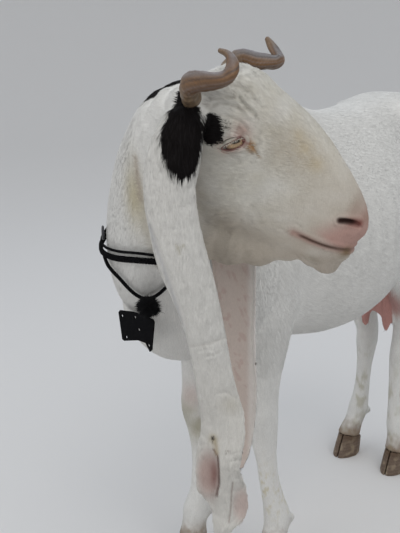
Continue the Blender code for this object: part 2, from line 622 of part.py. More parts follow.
def claw_solid(name, foot, side, length, width, top_slope):
    """One claw of a foot: a D-shaped block with a flat sole, a pointed toe and a sloping top."""
    x0, y0, top_x = foot
    plan = []
    for a in np.radians(np.linspace(90, -90, 13)):
        toe = math.cos(a) ** 0.75 if math.cos(a) > 0 else 0.0
        plan.append((math.sin(a), toe))
    rings = []
    for f, grow in ((0.0, 0.965), (0.04, 1.0), (0.45, 0.985), (0.96, 0.955), (1.0, 0.93)):
        centre_x = x0 + (top_x - x0) * f
        half = length * (0.5 - 0.10 * f) * grow
        wide = width * (1.0 - 0.06 * f) * grow
        ring = []
        for along, across in plan:
            x = centre_x + half * along - 0.10 * half * across
            y = y0 + side * (CLEFT / 2 + wide * across * (1.0 - 0.28 * max(along, 0.0)))
            top = CORONET_Z - 2 * GAP + top_slope * (x - top_x)
            ring.append((x, y, SOLE_Z + f * (top - SOLE_Z)))
        rings.append(ring)
    return solid(name, *loft(rings))


def torus(radius, around, path):
    """A closed round tube along a closed path of points, each with its outward and sideways direction."""
    loops = []
    for point, out, side in path:
        loop = []
        for j in range(around):
            a = 2 * math.pi * j / around
            loop.append(np.asarray(point) + np.asarray(out) * radius * math.cos(a)
                        + np.asarray(side) * radius * math.sin(a))
        loops.append(loop)
    return loft(loops, closed=True)


def round_neck(tree, line, lift, count):
    """A closed line laid on the skin: its points, with their outward and sideways directions."""
    around = closed_loop(line, 4 * len(line))
    around = around[np.linspace(0, len(around), count, endpoint=False).astype(int)]
    laid = [on_surface(tree, p, lift) for p in around]
    points = np.array([p for p, _ in laid])
    for _ in range(2):
        points = (np.roll(points, 1, axis=0) + 2 * points + np.roll(points, -1, axis=0)) / 4
        points = np.array([clear_of(tree, p, lift) for p in points])
    along = np.roll(points, -1, axis=0) - np.roll(points, 1, axis=0)
    path = []
    for point, (_, out), ahead in zip(points, laid, along):
        ahead = ahead / np.linalg.norm(ahead)
        out = out - ahead * out.dot(ahead)
        out = out / np.linalg.norm(out)
        path.append((point, out, np.cross(ahead, out)))
    return path


def clear_of(tree, point, lift):
    """The point itself, or the point moved out where it is nearer the skin than lift."""
    near, normal, _, gap = tree.find_nearest(Vector(point))
    inside = (Vector(point) - near).dot(normal) < 0
    return np.array(near + normal * lift) if inside or gap < lift else np.asarray(point)


def paint(ob, colour, rough=0.6):
    """Give a solid its own plain finish."""
    mat = bpy.data.materials.new(ob.name + "_finish")
    mat.use_nodes = True
    shader = mat.node_tree.nodes["Principled BSDF"]
    shader.inputs["Base Color"].default_value = (*colour, 1.0)
    shader.inputs["Roughness"].default_value = rough
    ob.data.materials.clear()
    ob.data.materials.append(mat)


def eye_parts(head, side, name):
    """Lids over a ball-shaped eye: adds the lids to the head, opens the slit, and makes the eyeball."""
    centre = in_head(0.000, 0.002, side * 0.0435)
    axes = np.array([NOSE, CROWN, RIGHT])
    lids = solid("lids", *ball(centre, (LID_R, LID_R, LID_R * 0.98), axes, 10, 16))
    combine(head, [lids], "UNION")
    hollow = solid("hollow", *ball(centre, (EYE_R + 0.0009,) * 3, axes, 10, 16))
    tilt = math.radians(50)
    along = NOSE * math.cos(tilt) + CROWN * math.sin(tilt)
    above = CROWN * math.cos(tilt) - NOSE * math.sin(tilt)
    rings = []
    for depth in (0.004, 0.030):
        ring = []
        for j in range(20):
            a = 2 * math.pi * j / 20
            x = 0.0158 * math.cos(a)
            z = 0.0058 * math.copysign(abs(math.sin(a)) ** 1.3, math.sin(a)) - 0.0010
            grow = 0.8 + depth * 10
            ring.append(centre + along * x * grow + above * z * grow + RIGHT * side * depth)
        rings.append(ring)
    slit = solid("slit", *loft(rings))
    combine(head, [hollow, slit], "DIFFERENCE")
    eye = solid(name, *ball(centre, (EYE_R,) * 3, np.array([RIGHT * side, CROWN, NOSE]), 10, 16))
    return eye


def mouth_cut(tree):
    """A thin curved groove between the lips, from one corner round the front to the other."""
    path = []
    for i in range(25):
        a = math.radians(-122 + 244 * i / 24)
        level = -0.0325 - 0.0215 * (abs(a) / 2.16) ** 1.2
        middle = in_head(0.150, level, 0.0)
        ray = NOSE * math.cos(a) + RIGHT * math.sin(a)
        hit = tree.ray_cast(Vector(middle + ray * 0.12), -Vector(ray))
        path.append((np.array(hit[0]), ray))
    rings = []
    for i, (point, ray) in enumerate(path):
        end = min(i, 24 - i) / 3.0
        deep = 0.0075 * min(1.0, 0.35 + end)
        thick = 0.0010 * min(1.0, 0.5 + end)
        rings.append([point + ray * 0.004 + CROWN * thick, point + ray * 0.004 - CROWN * thick,
                      point - ray * deep - CROWN * thick * 0.4, point - ray * deep + CROWN * thick * 0.4])
    return solid("mouth", *loft(rings))


def nostril_cut(side):
    """A long narrow opening at the side of the nose."""
    rows = [(0.159, -0.006, 0.0325, 0.0016), (0.165, -0.003, 0.0300, 0.0032),
            (0.172, -0.001, 0.0268, 0.0042), (0.180, 0.000, 0.0225, 0.0040),
            (0.186, 0.000, 0.0188, 0.0030), (0.190, -0.001, 0.0165, 0.0016)]
    points = [tuple(in_head(r[0], r[1], side * r[2])) + (r[3] * 1.5, r[3]) for r in rows]
    return solid("nostril", *swept(points, 14, 12, tuple(CROWN)))


def build():
    for ob in list(bpy.data.objects):
        bpy.data.objects.remove(ob)
    flesh = blended(flesh_shapes())
    tree = BVHTree.FromObject(flesh, bpy.context.evaluated_depsgraph_get())

    everywhere = ((-9, -9, -9), (9, 9, 9))
    nape_at = Vector((0.509, 0.060, 0.800))
    nape_to = Vector((0.10, 0.78, -0.02)).normalized()
    chest_at = Vector((0.325, 0.0, 0.660))
    chest_to = Vector((0.93, 0.0, 0.37)).normalized()
    parts = {}
    neck_cuts = [(nape_at, nape_to, *everywhere), (chest_at, -chest_to, (0.05, -0.3, 0.43), (9, 9, 9))]
    parts["neck"] = piece("neck", flesh, neck_cuts, (0.43, -0.10, 0.72), 1000)
    parts["head"] = piece("head", flesh, [(nape_at, -nape_to, *everywhere)], in_head(0.1, 0.06, 0), 1700)

    body_cuts = [(chest_at, chest_to, (0.05, -0.3, 0.43), (9, 9, 9))]
    leg_rows = {"fore_right": FORE_RIGHT, "fore_left": FORE_LEFT,
                "hind_right": HIND_RIGHT, "hind_left": HIND_LEFT}
    for leg, rows in leg_rows.items():
        fore = leg.startswith("fore")
        side = -1 if leg.endswith("right") else 1
        x_low, x_high = (0.15, 0.42) if fore else (-0.48, -0.14)
        y_low, y_high = (-0.2, -0.004) if side < 0 else (0.004, 0.2)
        top = Vector((0.27, 0, 0.428)) if fore else Vector((-0.27, 0, 0.418))
        up = Vector((0, 0, 1))
        box = ((x_low, y_low, -1), (x_high, y_high, 0.56))
        body_cuts.append((top, -up, *box))
        joint = Vector(rows[8][:3])
        joint_box = ((x_low, y_low, 0.1), (x_high, y_high, 0.52))
        foot = Vector((rows[1][0], rows[1][1], CORONET_Z))
        slope = Vector((-0.22, 0.0, 1.0)).normalized()
        foot_box = ((x_low, y_low, -1), (x_high, y_high, 0.2))
        parts[leg + "_upper"] = piece(leg + "_upper", flesh,
                                      [(top, up, *box), (joint, Vector((0, 0, -1)), *joint_box)],
                                      rows[10][:3], 300)
        parts[leg + "_lower"] = piece(leg + "_lower", flesh,
                                      [(joint, Vector((0, 0, 1)), *joint_box), (foot, -slope, *foot_box)],
                                      rows[5][:3], 380)
    tail_cut = (Vector((-0.408, 0, 0.80)), Vector((-1, 0, 0.25)).normalized())
    tail_box = ((-0.6, -0.1, 0.60), (-0.30, 0.1, 0.95))
    body_cuts.append((tail_cut[0], tail_cut[1], *tail_box))
    parts["tail"] = piece("tail", flesh, [(tail_cut[0], -tail_cut[1], *tail_box)], (-0.46, 0, 0.72), 160)
    parts["torso"] = piece("torso", flesh, body_cuts, (0.0, 0.16, 0.65), 1900)
    bpy.data.objects.remove(flesh)

    head = parts["head"]
    combine(head, [nostril_cut(1), nostril_cut(-1), mouth_cut(tree)], "DIFFERENCE")
    parts["eye_right"] = eye_parts(head, 1, "eye_right")
    parts["eye_left"] = eye_parts(head, -1, "eye_left")

    for name, side in (("horn_right", 1), ("horn_left", -1)):
        horn = horn_solid(name, side)
        combine(horn, [swollen(head, GAP * 2)], "DIFFERENCE")
        parts[name] = horn
    for name, rows, out, count in (("ear_right", EAR_RIGHT, RIGHT, 28), ("ear_left", EAR_LEFT, -RIGHT, 26)):
        ear = ear_solid(name, rows, (out[0], out[1], 0.0), count)
        horn = parts["horn" + name[3:]]
        combine(ear, [swollen(head, GAP * 2), swollen(horn, GAP * 2)], "DIFFERENCE")
        parts[name] = ear

    for leg, rows in leg_rows.items():
        for word, side in (("right", -1), ("left", 1)):
            name = "hoof_" + leg + "_" + word
            length = 0.078 if leg.startswith("fore") else 0.076
            foot = (rows[0][0] + 0.010, rows[0][1], rows[1][0] + 0.002)
            parts[name] = claw_solid(name, foot, side, length, 0.0270, 0.22)

    bag = [ball((-0.244, 0.006, 0.455), (0.064, 0.046, 0.066))]
    for side in (-1, 1):
        bag.append(ball((-0.244, 0.006 + side * 0.022, 0.428), (0.054, 0.028, 0.046)))
        bag.append(ball((-0.236, 0.008 + side * 0.026, 0.374), (0.034, 0.0125, 0.0125), turned(10, 82)))
    udder = blended(bag)
    udder.name = "udder"
    thin = udder.modifiers.new("thin", "DECIMATE")
    thin.ratio = 420 / max(1, 2 * len(udder.data.polygons))
    thin.use_collapse_triangulate = True
    applied(udder)
    near = ["torso", "hind_right_upper", "hind_left_upper", "hind_right_lower", "hind_left_lower"]
    combine(udder, [swollen(parts[n], GAP * 2) for n in near], "DIFFERENCE")
    parts["udder"] = udder
    parts.update(collar_parts(tree))
    return parts


def on_surface(tree, point, lift):
    """The nearest place on the skin moved outwards by lift, and the outward direction there."""
    near, normal = tree.find_nearest(Vector(point))[:2]
    return np.array(near + normal * lift), np.array(normal)


def collar_parts(tree):
    """Two neck cords, a lower cord with a wool ball, a small plate with holes, and a ring at the side."""
    parts = {}
    for name, radius, down in COLLAR:
        line = np.array(NECK_LINE)
        nape = np.clip((line[:, 2] - 0.66) / 0.12, 0.0, 1.0)
        line[:, 0] -= down * (0.45 + 0.75 * nape)
        line[:, 2] -= down * (0.95 - 0.80 * nape)
        path = round_neck(tree, line, radius + 0.0036, 40)
        parts[name] = solid(name, *torus(radius, 6, path))
    cord = [tuple(on_surface(tree, p, LOWER_R + 0.0016)[0]) + (LOWER_R, LOWER_R) for p in LOWER_CORD]
    parts["collar_lower"] = solid("collar_lower", *swept(cord, 26, 6, (0, 0, 1)))
    parts["pompom"] = solid("pompom", *ball(POMPOM_AT, (POMPOM_R,) * 3, None, 10, 14))
    outline = [(-0.039, 0.022), (-0.036, 0.026), (-0.004, 0.030), (0.036, 0.027), (0.039, 0.023),
               (0.033, -0.022), (0.029, -0.026), (0.020, -0.014), (0.004, -0.0135), (-0.028, -0.022),
               (-0.032, -0.020)]
    px, py, pz = PLATE_AT
    rings = [[(px + x, py + y, pz + z) for y, z in outline] for x in (0.0, PLATE_THICK)]
    plate = solid("plate", *loft(rings))
    holes = []
    for y, z in ((-0.031, 0.018), (-0.002, 0.022), (0.006, 0.004), (-0.0225, -0.0145), (0.027, -0.016)):
        ring = [[(px + x, py + y + 0.0024 * math.cos(a), pz + z + 0.0024 * math.sin(a))
                 for a in np.radians(np.arange(0, 360, 45))] for x in (-0.004, 0.008)]
        holes.append(solid("hole", *loft(ring)))
    combine(plate, holes, "DIFFERENCE")
    parts["plate"] = plate
    hub, out = on_surface(tree, RING_AT, RING_WIRE + 0.0016)
    along = np.cross(out, (0.0, 0.0, 1.0))
    along /= np.linalg.norm(along)
    across = np.cross(along, out)
    loop = []
    for j in range(20):
        a = 2 * math.pi * j / 20
        ray = along * math.cos(a) + across * math.sin(a)
        loop.append((hub + ray * RING_R, ray, out))
    parts["collar_ring"] = solid("collar_ring", *torus(RING_WIRE, 6, loop))
    return parts


FINISHES = {
    "head": (0.86, 0.79, 0.72), "neck": (0.87, 0.83, 0.78), "torso": (0.88, 0.85, 0.80),
    "tail": (0.88, 0.85, 0.80), "fore": (0.84, 0.79, 0.72), "hind": (0.84, 0.79, 0.72),
    "udder": (0.80, 0.56, 0.50), "eye": (0.45, 0.28, 0.10), "ear": (0.86, 0.78, 0.72),
    "horn": (0.36, 0.25, 0.17), "hoof": (0.22, 0.17, 0.12), "collar": (0.02, 0.02, 0.02),
    "pompom": (0.02, 0.02, 0.02), "plate": (0.03, 0.03, 0.03),
}


def settle(parts):
    """Move the whole model so that the origin is at the middle of its underside, and paint every part."""
    points = np.array([v.co for ob in parts.values() for v in ob.data.vertices])
    low, high = points.min(axis=0), points.max(axis=0)
    shift = Matrix.Translation((-(low[0] + high[0]) / 2, -(low[1] + high[1]) / 2, -low[2]))
    for name, ob in parts.items():
        ob.name = name
        ob.data.name = name
        ob.data.transform(shift)
        paint(ob, next(c for key, c in FINISHES.items() if name.startswith(key)))


settle(build())
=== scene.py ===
"""A standing long-eared doe goat, life size, as a still museum model in a plain studio.

Metres, Z up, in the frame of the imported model. The flesh nodes are dressed with one continuous skin and a
short coat; horns, hooves, eyes and the neck cords are pieces of their own.
"""
import math

import bmesh
import bpy
import numpy as np
from mathutils import Matrix, Vector
from mathutils.bvhtree import BVHTree


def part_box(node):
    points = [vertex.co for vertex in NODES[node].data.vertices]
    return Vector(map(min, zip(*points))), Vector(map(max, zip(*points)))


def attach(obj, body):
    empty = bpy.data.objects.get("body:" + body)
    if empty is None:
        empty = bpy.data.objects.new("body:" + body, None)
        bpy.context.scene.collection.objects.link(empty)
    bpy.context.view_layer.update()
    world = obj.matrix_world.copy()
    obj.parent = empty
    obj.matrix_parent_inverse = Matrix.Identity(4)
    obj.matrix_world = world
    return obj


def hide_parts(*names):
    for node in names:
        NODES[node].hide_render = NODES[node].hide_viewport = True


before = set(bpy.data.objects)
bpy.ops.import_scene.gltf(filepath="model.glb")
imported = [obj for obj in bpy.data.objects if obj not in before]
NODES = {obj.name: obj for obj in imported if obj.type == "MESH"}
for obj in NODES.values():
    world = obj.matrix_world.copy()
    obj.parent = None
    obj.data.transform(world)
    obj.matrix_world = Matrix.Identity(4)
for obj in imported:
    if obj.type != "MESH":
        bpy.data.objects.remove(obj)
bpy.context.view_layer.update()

# Voxels of the head with the ears and of the rest, share of faces kept on the far side, depth of the coat
# on the trunk and on the head, and how far neighbouring solids are pushed into each other; sizes in metres
FINE = 0.0016
COARSE = 0.0045
THIN = 0.30
COAT_BODY = 0.0030
COAT_HEAD = 0.0010
OVERLAP = 0.0005

# Head frame: origin midway between the eyes, then the directions of the nose, the right side and the crown
HEAD_YAW = math.radians(115.0)
HEAD_PITCH = math.radians(-35.0)
HEAD_ROLL = math.radians(8.0)
EYE_OUT = 0.0435
EYE_UP = 0.0020
EYE_R = 0.0160


def head_axes():
    """Nose, right-side and crown directions of the turned, lowered and tilted head."""
    flat = np.array([math.cos(HEAD_YAW), math.sin(HEAD_YAW), 0.0])
    nose = flat * math.cos(HEAD_PITCH) + np.array([0.0, 0.0, math.sin(HEAD_PITCH)])
    side = np.cross(flat, [0.0, 0.0, 1.0])
    up = np.cross(side, nose)
    right = side * math.cos(HEAD_ROLL) - up * math.sin(HEAD_ROLL)
    crown = up * math.cos(HEAD_ROLL) + side * math.sin(HEAD_ROLL)
    return nose, right, crown


NOSE, RIGHT, CROWN = head_axes()
EYE_BOX = [np.array(c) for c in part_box("eye_right")]
HEAD_AT = (EYE_BOX[0] + EYE_BOX[1]) / 2 - CROWN * EYE_UP - RIGHT * EYE_OUT

# The body frame of the CAD source, in which most places below are given, is model space less SHIFT
BETWEEN_EYES = np.array([0.472, 0.184, 0.832])
SHIFT = HEAD_AT - BETWEEN_EYES


def in_head(ahead, up, out):
    """A point of the head frame in model space."""
    return HEAD_AT + NOSE * ahead + CROWN * up + RIGHT * out


def head_coords(points):
    """Ahead, up and out of the eyes for points of model space."""
    rel = np.asarray(points) - HEAD_AT
    return rel @ NOSE, rel @ CROWN, rel @ RIGHT


# The photograph's viewpoint and directions, its size and focal length in pixels, and the film's width in mm
VIEW_FROM = np.array([1.230, 0.785, 0.900]) + SHIFT
VIEW_DIP = math.radians(14.15)
VIEW_LEVEL = np.array([-0.744, -0.668, 0.0]) / math.hypot(0.744, 0.668)
VIEW_AHEAD = VIEW_LEVEL * math.cos(VIEW_DIP) - np.array([0.0, 0.0, math.sin(VIEW_DIP)])
VIEW_RIGHT = np.cross(VIEW_LEVEL, [0.0, 0.0, 1.0])
VIEW_UP = np.cross(VIEW_RIGHT, VIEW_AHEAD)
PHOTO = (400.0, 533.0)
FOCAL = 740.0
FILM = 36.0


def picture(p):
    """Across and down in the photograph, in its pixels, for points of model space."""
    rel = np.asarray(p) - VIEW_FROM
    far = rel @ VIEW_AHEAD
    return np.stack([PHOTO[0] / 2 + FOCAL * (rel @ VIEW_RIGHT) / far,
                     PHOTO[1] / 2 - FOCAL * (rel @ VIEW_UP) / far], axis=1)


def smoothstep(x, low, high):
    """0 below low, 1 above high, and a smooth rise between."""
    t = np.clip((np.asarray(x, float) - low) / (high - low), 0.0, 1.0)
    return t * t * (3.0 - 2.0 * t)


def unit(v):
    """Vectors scaled to length one."""
    v = np.asarray(v, float)
    return v / np.maximum(np.linalg.norm(v, axis=-1, keepdims=True), 1e-12)


def hump(x, at, width, power=2):
    """1 where a number is at a place, falling to 0 on both sides of it."""
    return np.exp(-np.abs((x - at) / width) ** power)


def oval(u, v, at, size, power=1):
    """1 in the middle of an oval spot of two numbers, falling to 0 around it."""
    return np.exp(-(((u - at[0]) / size[0]) ** 2 + ((v - at[1]) / size[1]) ** 2) ** power)


# Mesh helpers

def add_mesh(name, verts, faces, smooth=True):
    """A mesh object from arrays of points and of triangles or quads."""
    faces = np.asarray(faces, np.int32)
    mesh = bpy.data.meshes.new(name)
    mesh.vertices.add(len(verts))
    mesh.vertices.foreach_set("co", np.asarray(verts, np.float32).ravel())
    mesh.loops.add(faces.size)
    mesh.loops.foreach_set("vertex_index", faces.ravel())
    mesh.polygons.add(len(faces))
    mesh.polygons.foreach_set("loop_start", np.arange(0, faces.size, faces.shape[1], dtype=np.int32))
    mesh.polygons.foreach_set("use_smooth", np.full(len(faces), smooth))
    mesh.update(calc_edges=True)
    ob = bpy.data.objects.new(name, mesh)
    bpy.context.scene.collection.objects.link(ob)
    return ob


def rows_of(items, what, width, kind):
    """One property of all vertices, edges or triangles of a mesh, a row for each."""
    out = np.empty(len(items) * width, kind)
    items.foreach_get(what, out)
    return out.reshape(-1, width)


def points_of(mesh):
    """All vertex places of a mesh."""
    return rows_of(mesh.vertices, "co", 3, np.float32).astype(float)


def normals_of(mesh):
    """All vertex normals of a mesh."""
    return rows_of(mesh.vertices, "normal", 3, np.float32).astype(float)


def edges_of(mesh):
    """Vertex pairs of all edges."""
    return rows_of(mesh.edges, "vertices", 2, np.int32)


def triangles_of(mesh):
    """Vertex indices of all triangles."""
    mesh.calc_loop_triangles()
    return rows_of(mesh.loop_triangles, "vertices", 3, np.int32)


def move_points(mesh, points):
    """Give a mesh new vertex places."""
    mesh.vertices.foreach_set("co", np.asarray(points, np.float32).ravel())
    mesh.update()


def with_modifier(ob, kind, **settings):
    """The same object with one modifier applied to its mesh."""
    mod = ob.modifiers.new("step", kind)
    for key, value in settings.items():
        setattr(mod, key, value)
    graph = bpy.context.evaluated_depsgraph_get()
    made = bpy.data.meshes.new_from_object(ob.evaluated_get(graph))
    ob.modifiers.clear()
    old = ob.data
    ob.data = made
    bpy.data.meshes.remove(old)
    return ob


def gathered(names, grow):
    """Copies of CAD nodes in one mesh, each pushed out a little so that neighbours overlap."""
    verts, faces, start = [], [], 0
    for name in names:
        mesh = NODES[name].data
        points = points_of(mesh)
        tris = triangles_of(mesh)
        keys, index = np.unique(np.round(points, 6), axis=0, return_inverse=True)
        index = index.ravel()
        tris = index[tris]
        normal = np.zeros_like(keys)
        flat = np.cross(keys[tris[:, 1]] - keys[tris[:, 0]], keys[tris[:, 2]] - keys[tris[:, 0]])
        for k in range(3):
            np.add.at(normal, tris[:, k], flat)
        verts.append(keys + unit(normal) * grow)
        faces.append(tris + start)
        start += len(keys)
    return np.concatenate(verts), np.concatenate(faces)


def smoothed(ob, rounds, weight=None, factor=0.5):
    """Relax a mesh, fully or by a weight of each vertex."""
    settings = {"factor": factor, "iterations": rounds}
    if weight is not None:
        group = ob.vertex_groups.new(name="relax")
        levels = np.round(np.clip(weight, 0.0, 1.0) * 16).astype(int)
        for level in np.unique(levels):
            if level:
                group.add(np.flatnonzero(levels == level).tolist(), level / 16.0, "REPLACE")
        settings["vertex_group"] = "relax"
    with_modifier(ob, "SMOOTH", **settings)
    ob.vertex_groups.clear()
    return ob


# Skin

LEGS = [f"{a}_{b}_{c}" for a in ("fore", "hind") for b in ("right", "left") for c in ("upper", "lower")]
TRUNK = ["torso", "neck", "tail", "udder", *LEGS]
NAPE_AT = np.array([0.509, 0.060, 0.800]) + SHIFT
NAPE_TO = unit(np.array([0.10, 0.78, -0.02]))

# How far inside the head the trunk ends, and the corners of space, in the body frame, that this cut reaches
CUT = -0.02
CUT_AHEAD, CUT_LEFT = (0.36, 0.66), (0.30, 0.115, 0.55)

# Where the trunk is relaxed less: heights of legs and feet, reach of udder and tail; then the rounds of
# relaxing and the share of the second ones
LEG_Z, FOOT_Z, UDDER_Z = (0.40, 0.50), (0.05, 0.12), (0.50, 0.54)
UDDER_FROM, UDDER_TO, TAIL_FROM = (0.22, 0.25), (0.37, 0.40), (0.455, 0.475)
BROAD_ROUNDS, TIGHT_ROUNDS, TIGHT_SHARE = 70, 7, 0.45

# Where the coat grows deeper behind the head, and thins out towards the legs and the feet
NECK_GROWS, LEG_THINS, FOOT_THINS = (-0.02, 0.08), (0.30, 0.50), (0.06, 0.10)

# Where faces are thinned out: sideways and backwards from these places, and how the fine places are relaxed
FAR_SIDE, REAR_SIDE = (-0.075, -0.045), (-0.375, -0.355)
FINE_SHARE = 0.15
EYE_FINE, MOUTH_FINE, MOUTH_REACH = (0.018, 0.028), (0.004, 0.010), 0.08


def down_neck(points):
    """Distance from the division of head and neck, positive towards the chest."""
    return -(np.asarray(points) - NAPE_AT) @ NAPE_TO


def trunk_skin():
    """The smooth trunk, neck and legs, ending in a cap a little inside the head."""
    ob = add_mesh("trunk", *gathered(TRUNK + ["head"], OVERLAP))
    with_modifier(ob, "REMESH", mode="VOXEL", voxel_size=COARSE)
    x, _, z = points_of(ob.data).T
    leg = 1.0 - smoothstep(z, *LEG_Z)
    foot = 1.0 - smoothstep(z, *FOOT_Z)
    udder = smoothstep(-x, *UDDER_FROM) * (1.0 - smoothstep(-x, *UDDER_TO)) * (1.0 - smoothstep(z, *UDDER_Z))
    tail = smoothstep(-x, *TAIL_FROM)
    tight = np.clip(np.maximum.reduce([leg, foot, udder, tail]), 0.0, 1.0)
    smoothed(ob, BROAD_ROUNDS, 1.0 - tight)
    smoothed(ob, TIGHT_ROUNDS, TIGHT_SHARE * tight)
    bm = bmesh.new()
    bm.from_mesh(ob.data)
    bm.verts.ensure_lookup_table()
    x, y, z = (points_of(ob.data) - SHIFT).T
    beyond = down_neck(points_of(ob.data)) < CUT
    near = (x > CUT_AHEAD[0]) & (z > CUT_AHEAD[1])
    near |= (x > CUT_LEFT[0]) & (y > CUT_LEFT[1]) & (z > CUT_LEFT[2])
    bmesh.ops.delete(bm, geom=[bm.verts[i] for i in np.flatnonzero(beyond & near)], context="VERTS")
    rim = [e for e in bm.edges if e.is_boundary]
    bmesh.ops.triangle_fill(bm, use_beauty=False, edges=rim)
    bmesh.ops.recalc_face_normals(bm, faces=bm.faces)
    bm.to_mesh(ob.data)
    bm.free()
    return ob


def whole_skin():
    """Trunk, head and ears as one closed fine mesh."""
    trunk = trunk_skin()
    verts, faces = gathered(["head", "ear_right", "ear_left"], OVERLAP)
    extra = triangles_of(trunk.data) + len(verts)
    verts = np.concatenate([verts, points_of(trunk.data)])
    bpy.data.objects.remove(trunk)
    ob = add_mesh("skin", verts, np.concatenate([faces, extra]))
    with_modifier(ob, "REMESH", mode="VOXEL", voxel_size=FINE)
    return ob


def coat_depth(points):
    """How far the skin lies below the outline of the coat."""
    p = np.asarray(points)
    s = down_neck(p)
    body = smoothstep(s, *NECK_GROWS)
    leg = 1.0 - smoothstep(p[:, 2], *LEG_THINS)
    foot = 1.0 - smoothstep(p[:, 2], *FOOT_THINS)
    depth = COAT_HEAD + (COAT_BODY - COAT_HEAD) * body * (1.0 - 0.6 * leg)
    return depth * (1.0 - 0.8 * foot)


def segments(points, line):
    """Distance from each point to a bent line, and how far along the line (0 to 1) its nearest place is."""
    points = np.asarray(points)
    line = np.asarray(line, float)
    best = np.full(len(points), 9.0)
    along = np.zeros(len(points))
    n = len(line) - 1
    for i in range(n):
        a, b = line[i], line[i + 1]
        d = b - a
        t = np.clip((points - a) @ d / max(d @ d, 1e-12), 0.0, 1.0)
        gap = np.linalg.norm(points - a - t[:, None] * d, axis=1)
        nearer = gap < best
        best[nearer] = gap[nearer]
        along[nearer] = ((i + t) / n)[nearer]
    return best, along


def groove(points, line, width, depth, rim=0.3):
    """Inward displacement along a bent line, with low rims at its sides and fading ends."""
    line = np.asarray(line, float)
    low, high = line.min(axis=0) - 4 * width, line.max(axis=0) + 4 * width
    out = np.zeros(len(points))
    near = np.flatnonzero(np.all((points > low) & (points < high), axis=1))
    if len(near):
        gap, along = segments(points[near], line)
        fade = smoothstep(along, -0.01, 0.22) * smoothstep(-along, -1.01, -0.78)
        sides = hump(gap, 2.0 * width, 0.9 * width)
        out[near] = fade * (-depth * hump(gap, 0.0, width) + rim * depth * sides)
    return out


def swell(points, centre, radius, height=1.0, power=2):
    """A soft round rise, or a hollow where height is below zero."""
    gap = np.linalg.norm((points - np.asarray(centre)) / np.asarray(radius), axis=1)
    return height * np.exp(-gap**power)


def stroke(points, line, width, power=2):
    """1 on a bent line, falling to 0 at its sides."""
    return np.exp(-(segments(points, line)[0] / width) ** power)


# Lines of the head, in the head frame: ahead of, above and out from the point between the eyes
SLIT_TILT = math.radians(50)
SLIT_ALONG = NOSE * math.cos(SLIT_TILT) + CROWN * math.sin(SLIT_TILT)
SLIT_ABOVE = CROWN * math.cos(SLIT_TILT) - NOSE * math.sin(SLIT_TILT)
MOUTH = [(0.126, -0.0550, 0.0335), (0.139, -0.0510, 0.034), (0.151, -0.0480, 0.034), (0.164, -0.0440, 0.0335),
         (0.177, -0.0395, 0.031), (0.189, -0.0355, 0.026), (0.197, -0.0335, 0.018), (0.202, -0.0328, 0.008),
         (0.203, -0.0325, 0.0)]
NOSTRIL = [(0.1625, -0.005, 0.0310), (0.167, -0.0025, 0.0285), (0.1725, 0.000, 0.0255), (0.178, 0.0018, 0.0215),
           (0.1825, 0.0028, 0.0180)]

# Creases of the face: line, width and depth
CREASES = [
    ([(-0.030, 0.050, 0.050), (-0.016, 0.046, 0.049), (-0.005, 0.044, 0.048),
      (0.010, 0.041, 0.046)], 0.0024, 0.0034),
    ([(-0.050, 0.028, 0.055), (-0.038, 0.040, 0.053), (-0.027, 0.046, 0.051)], 0.0026, 0.0024),
    ([(-0.050, 0.019, 0.056), (-0.039, 0.031, 0.055), (-0.026, 0.038, 0.053),
      (-0.010, 0.040, 0.050)], 0.0024, 0.0024),
    ([(-0.030, 0.020, 0.057), (-0.018, 0.026, 0.056), (-0.004, 0.028, 0.055),
      (0.012, 0.024, 0.053)], 0.0022, 0.0022),
    ([(-0.044, 0.052, 0.046), (-0.032, 0.058, 0.045), (-0.018, 0.060, 0.042),
      (-0.004, 0.056, 0.042)], 0.0026, 0.0020),
    ([(-0.012, -0.026, 0.056), (0.000, -0.019, 0.057), (0.012, -0.009, 0.056),
      (0.022, 0.002, 0.054)], 0.0020, 0.0014),
    ([(0.015, 0.013, 0.056), (0.021, 0.012, 0.053), (0.029, 0.009, 0.049),
      (0.036, 0.003, 0.045)], 0.0020, 0.0012),
    ([(0.014, 0.022, 0.053), (0.024, 0.022, 0.050), (0.034, 0.018, 0.047)], 0.0022, 0.0014),
    ([(0.106, -0.055, 0.035), (0.112, -0.049, 0.0355), (0.120, -0.043, 0.035),
      (0.130, -0.040, 0.034)], 0.0020, 0.0009),
    ([(0.098, -0.064, 0.030), (0.106, -0.062, 0.032), (0.116, -0.058, 0.033)], 0.0022, 0.0008),
    ([(0.152, -0.075, 0.022), (0.163, -0.076, 0.020), (0.174, -0.076, 0.016)], 0.0028, 0.0012),
    ([(0.176, -0.052, 0.024), (0.188, -0.047, 0.018), (0.195, -0.045, 0.008),
      (0.196, -0.044, 0.0)], 0.0024, 0.0012),
]

# Rises above and below each eye: height above it, way out, radius and rise
EYE_FORMS = [(0.021, 0.008, 0.011, 0.0022), (-0.020, 0.006, 0.010, 0.0012)]

# Soft forms of each side of the head: place, size and rise
CHEEK_FORMS = [
    ((0.030, -0.030, 0.050), (0.020, 0.020, 0.020), 0.0020),
    ((0.085, -0.012, 0.040), (0.016, 0.014, 0.016), -0.0012),
    ((-0.010, -0.070, 0.040), (0.026, 0.026, 0.026), 0.0022),
    ((0.060, -0.085, 0.030), (0.022, 0.012, 0.020), -0.0016)]
SMALL_FORMS = [
    ((0.120, -0.0565, 0.033), 0.0045, 0.0012), ((0.189, -0.0060, 0.016), 0.0040, 0.0018),
    ((-0.112, -0.004, 0.028), (0.030, 0.030, 0.030), 0.0035)]

# How far the lid edge stands off the eyeball and its least distance out from the eye's middle, then the same of
# the floor to which the skin is pressed between the lids
LID_OVER_EYE, LID_DEPTH = 0.0012, 0.0118
PRESSED_R, PRESSED_DEPTH = 0.0143, 0.0088

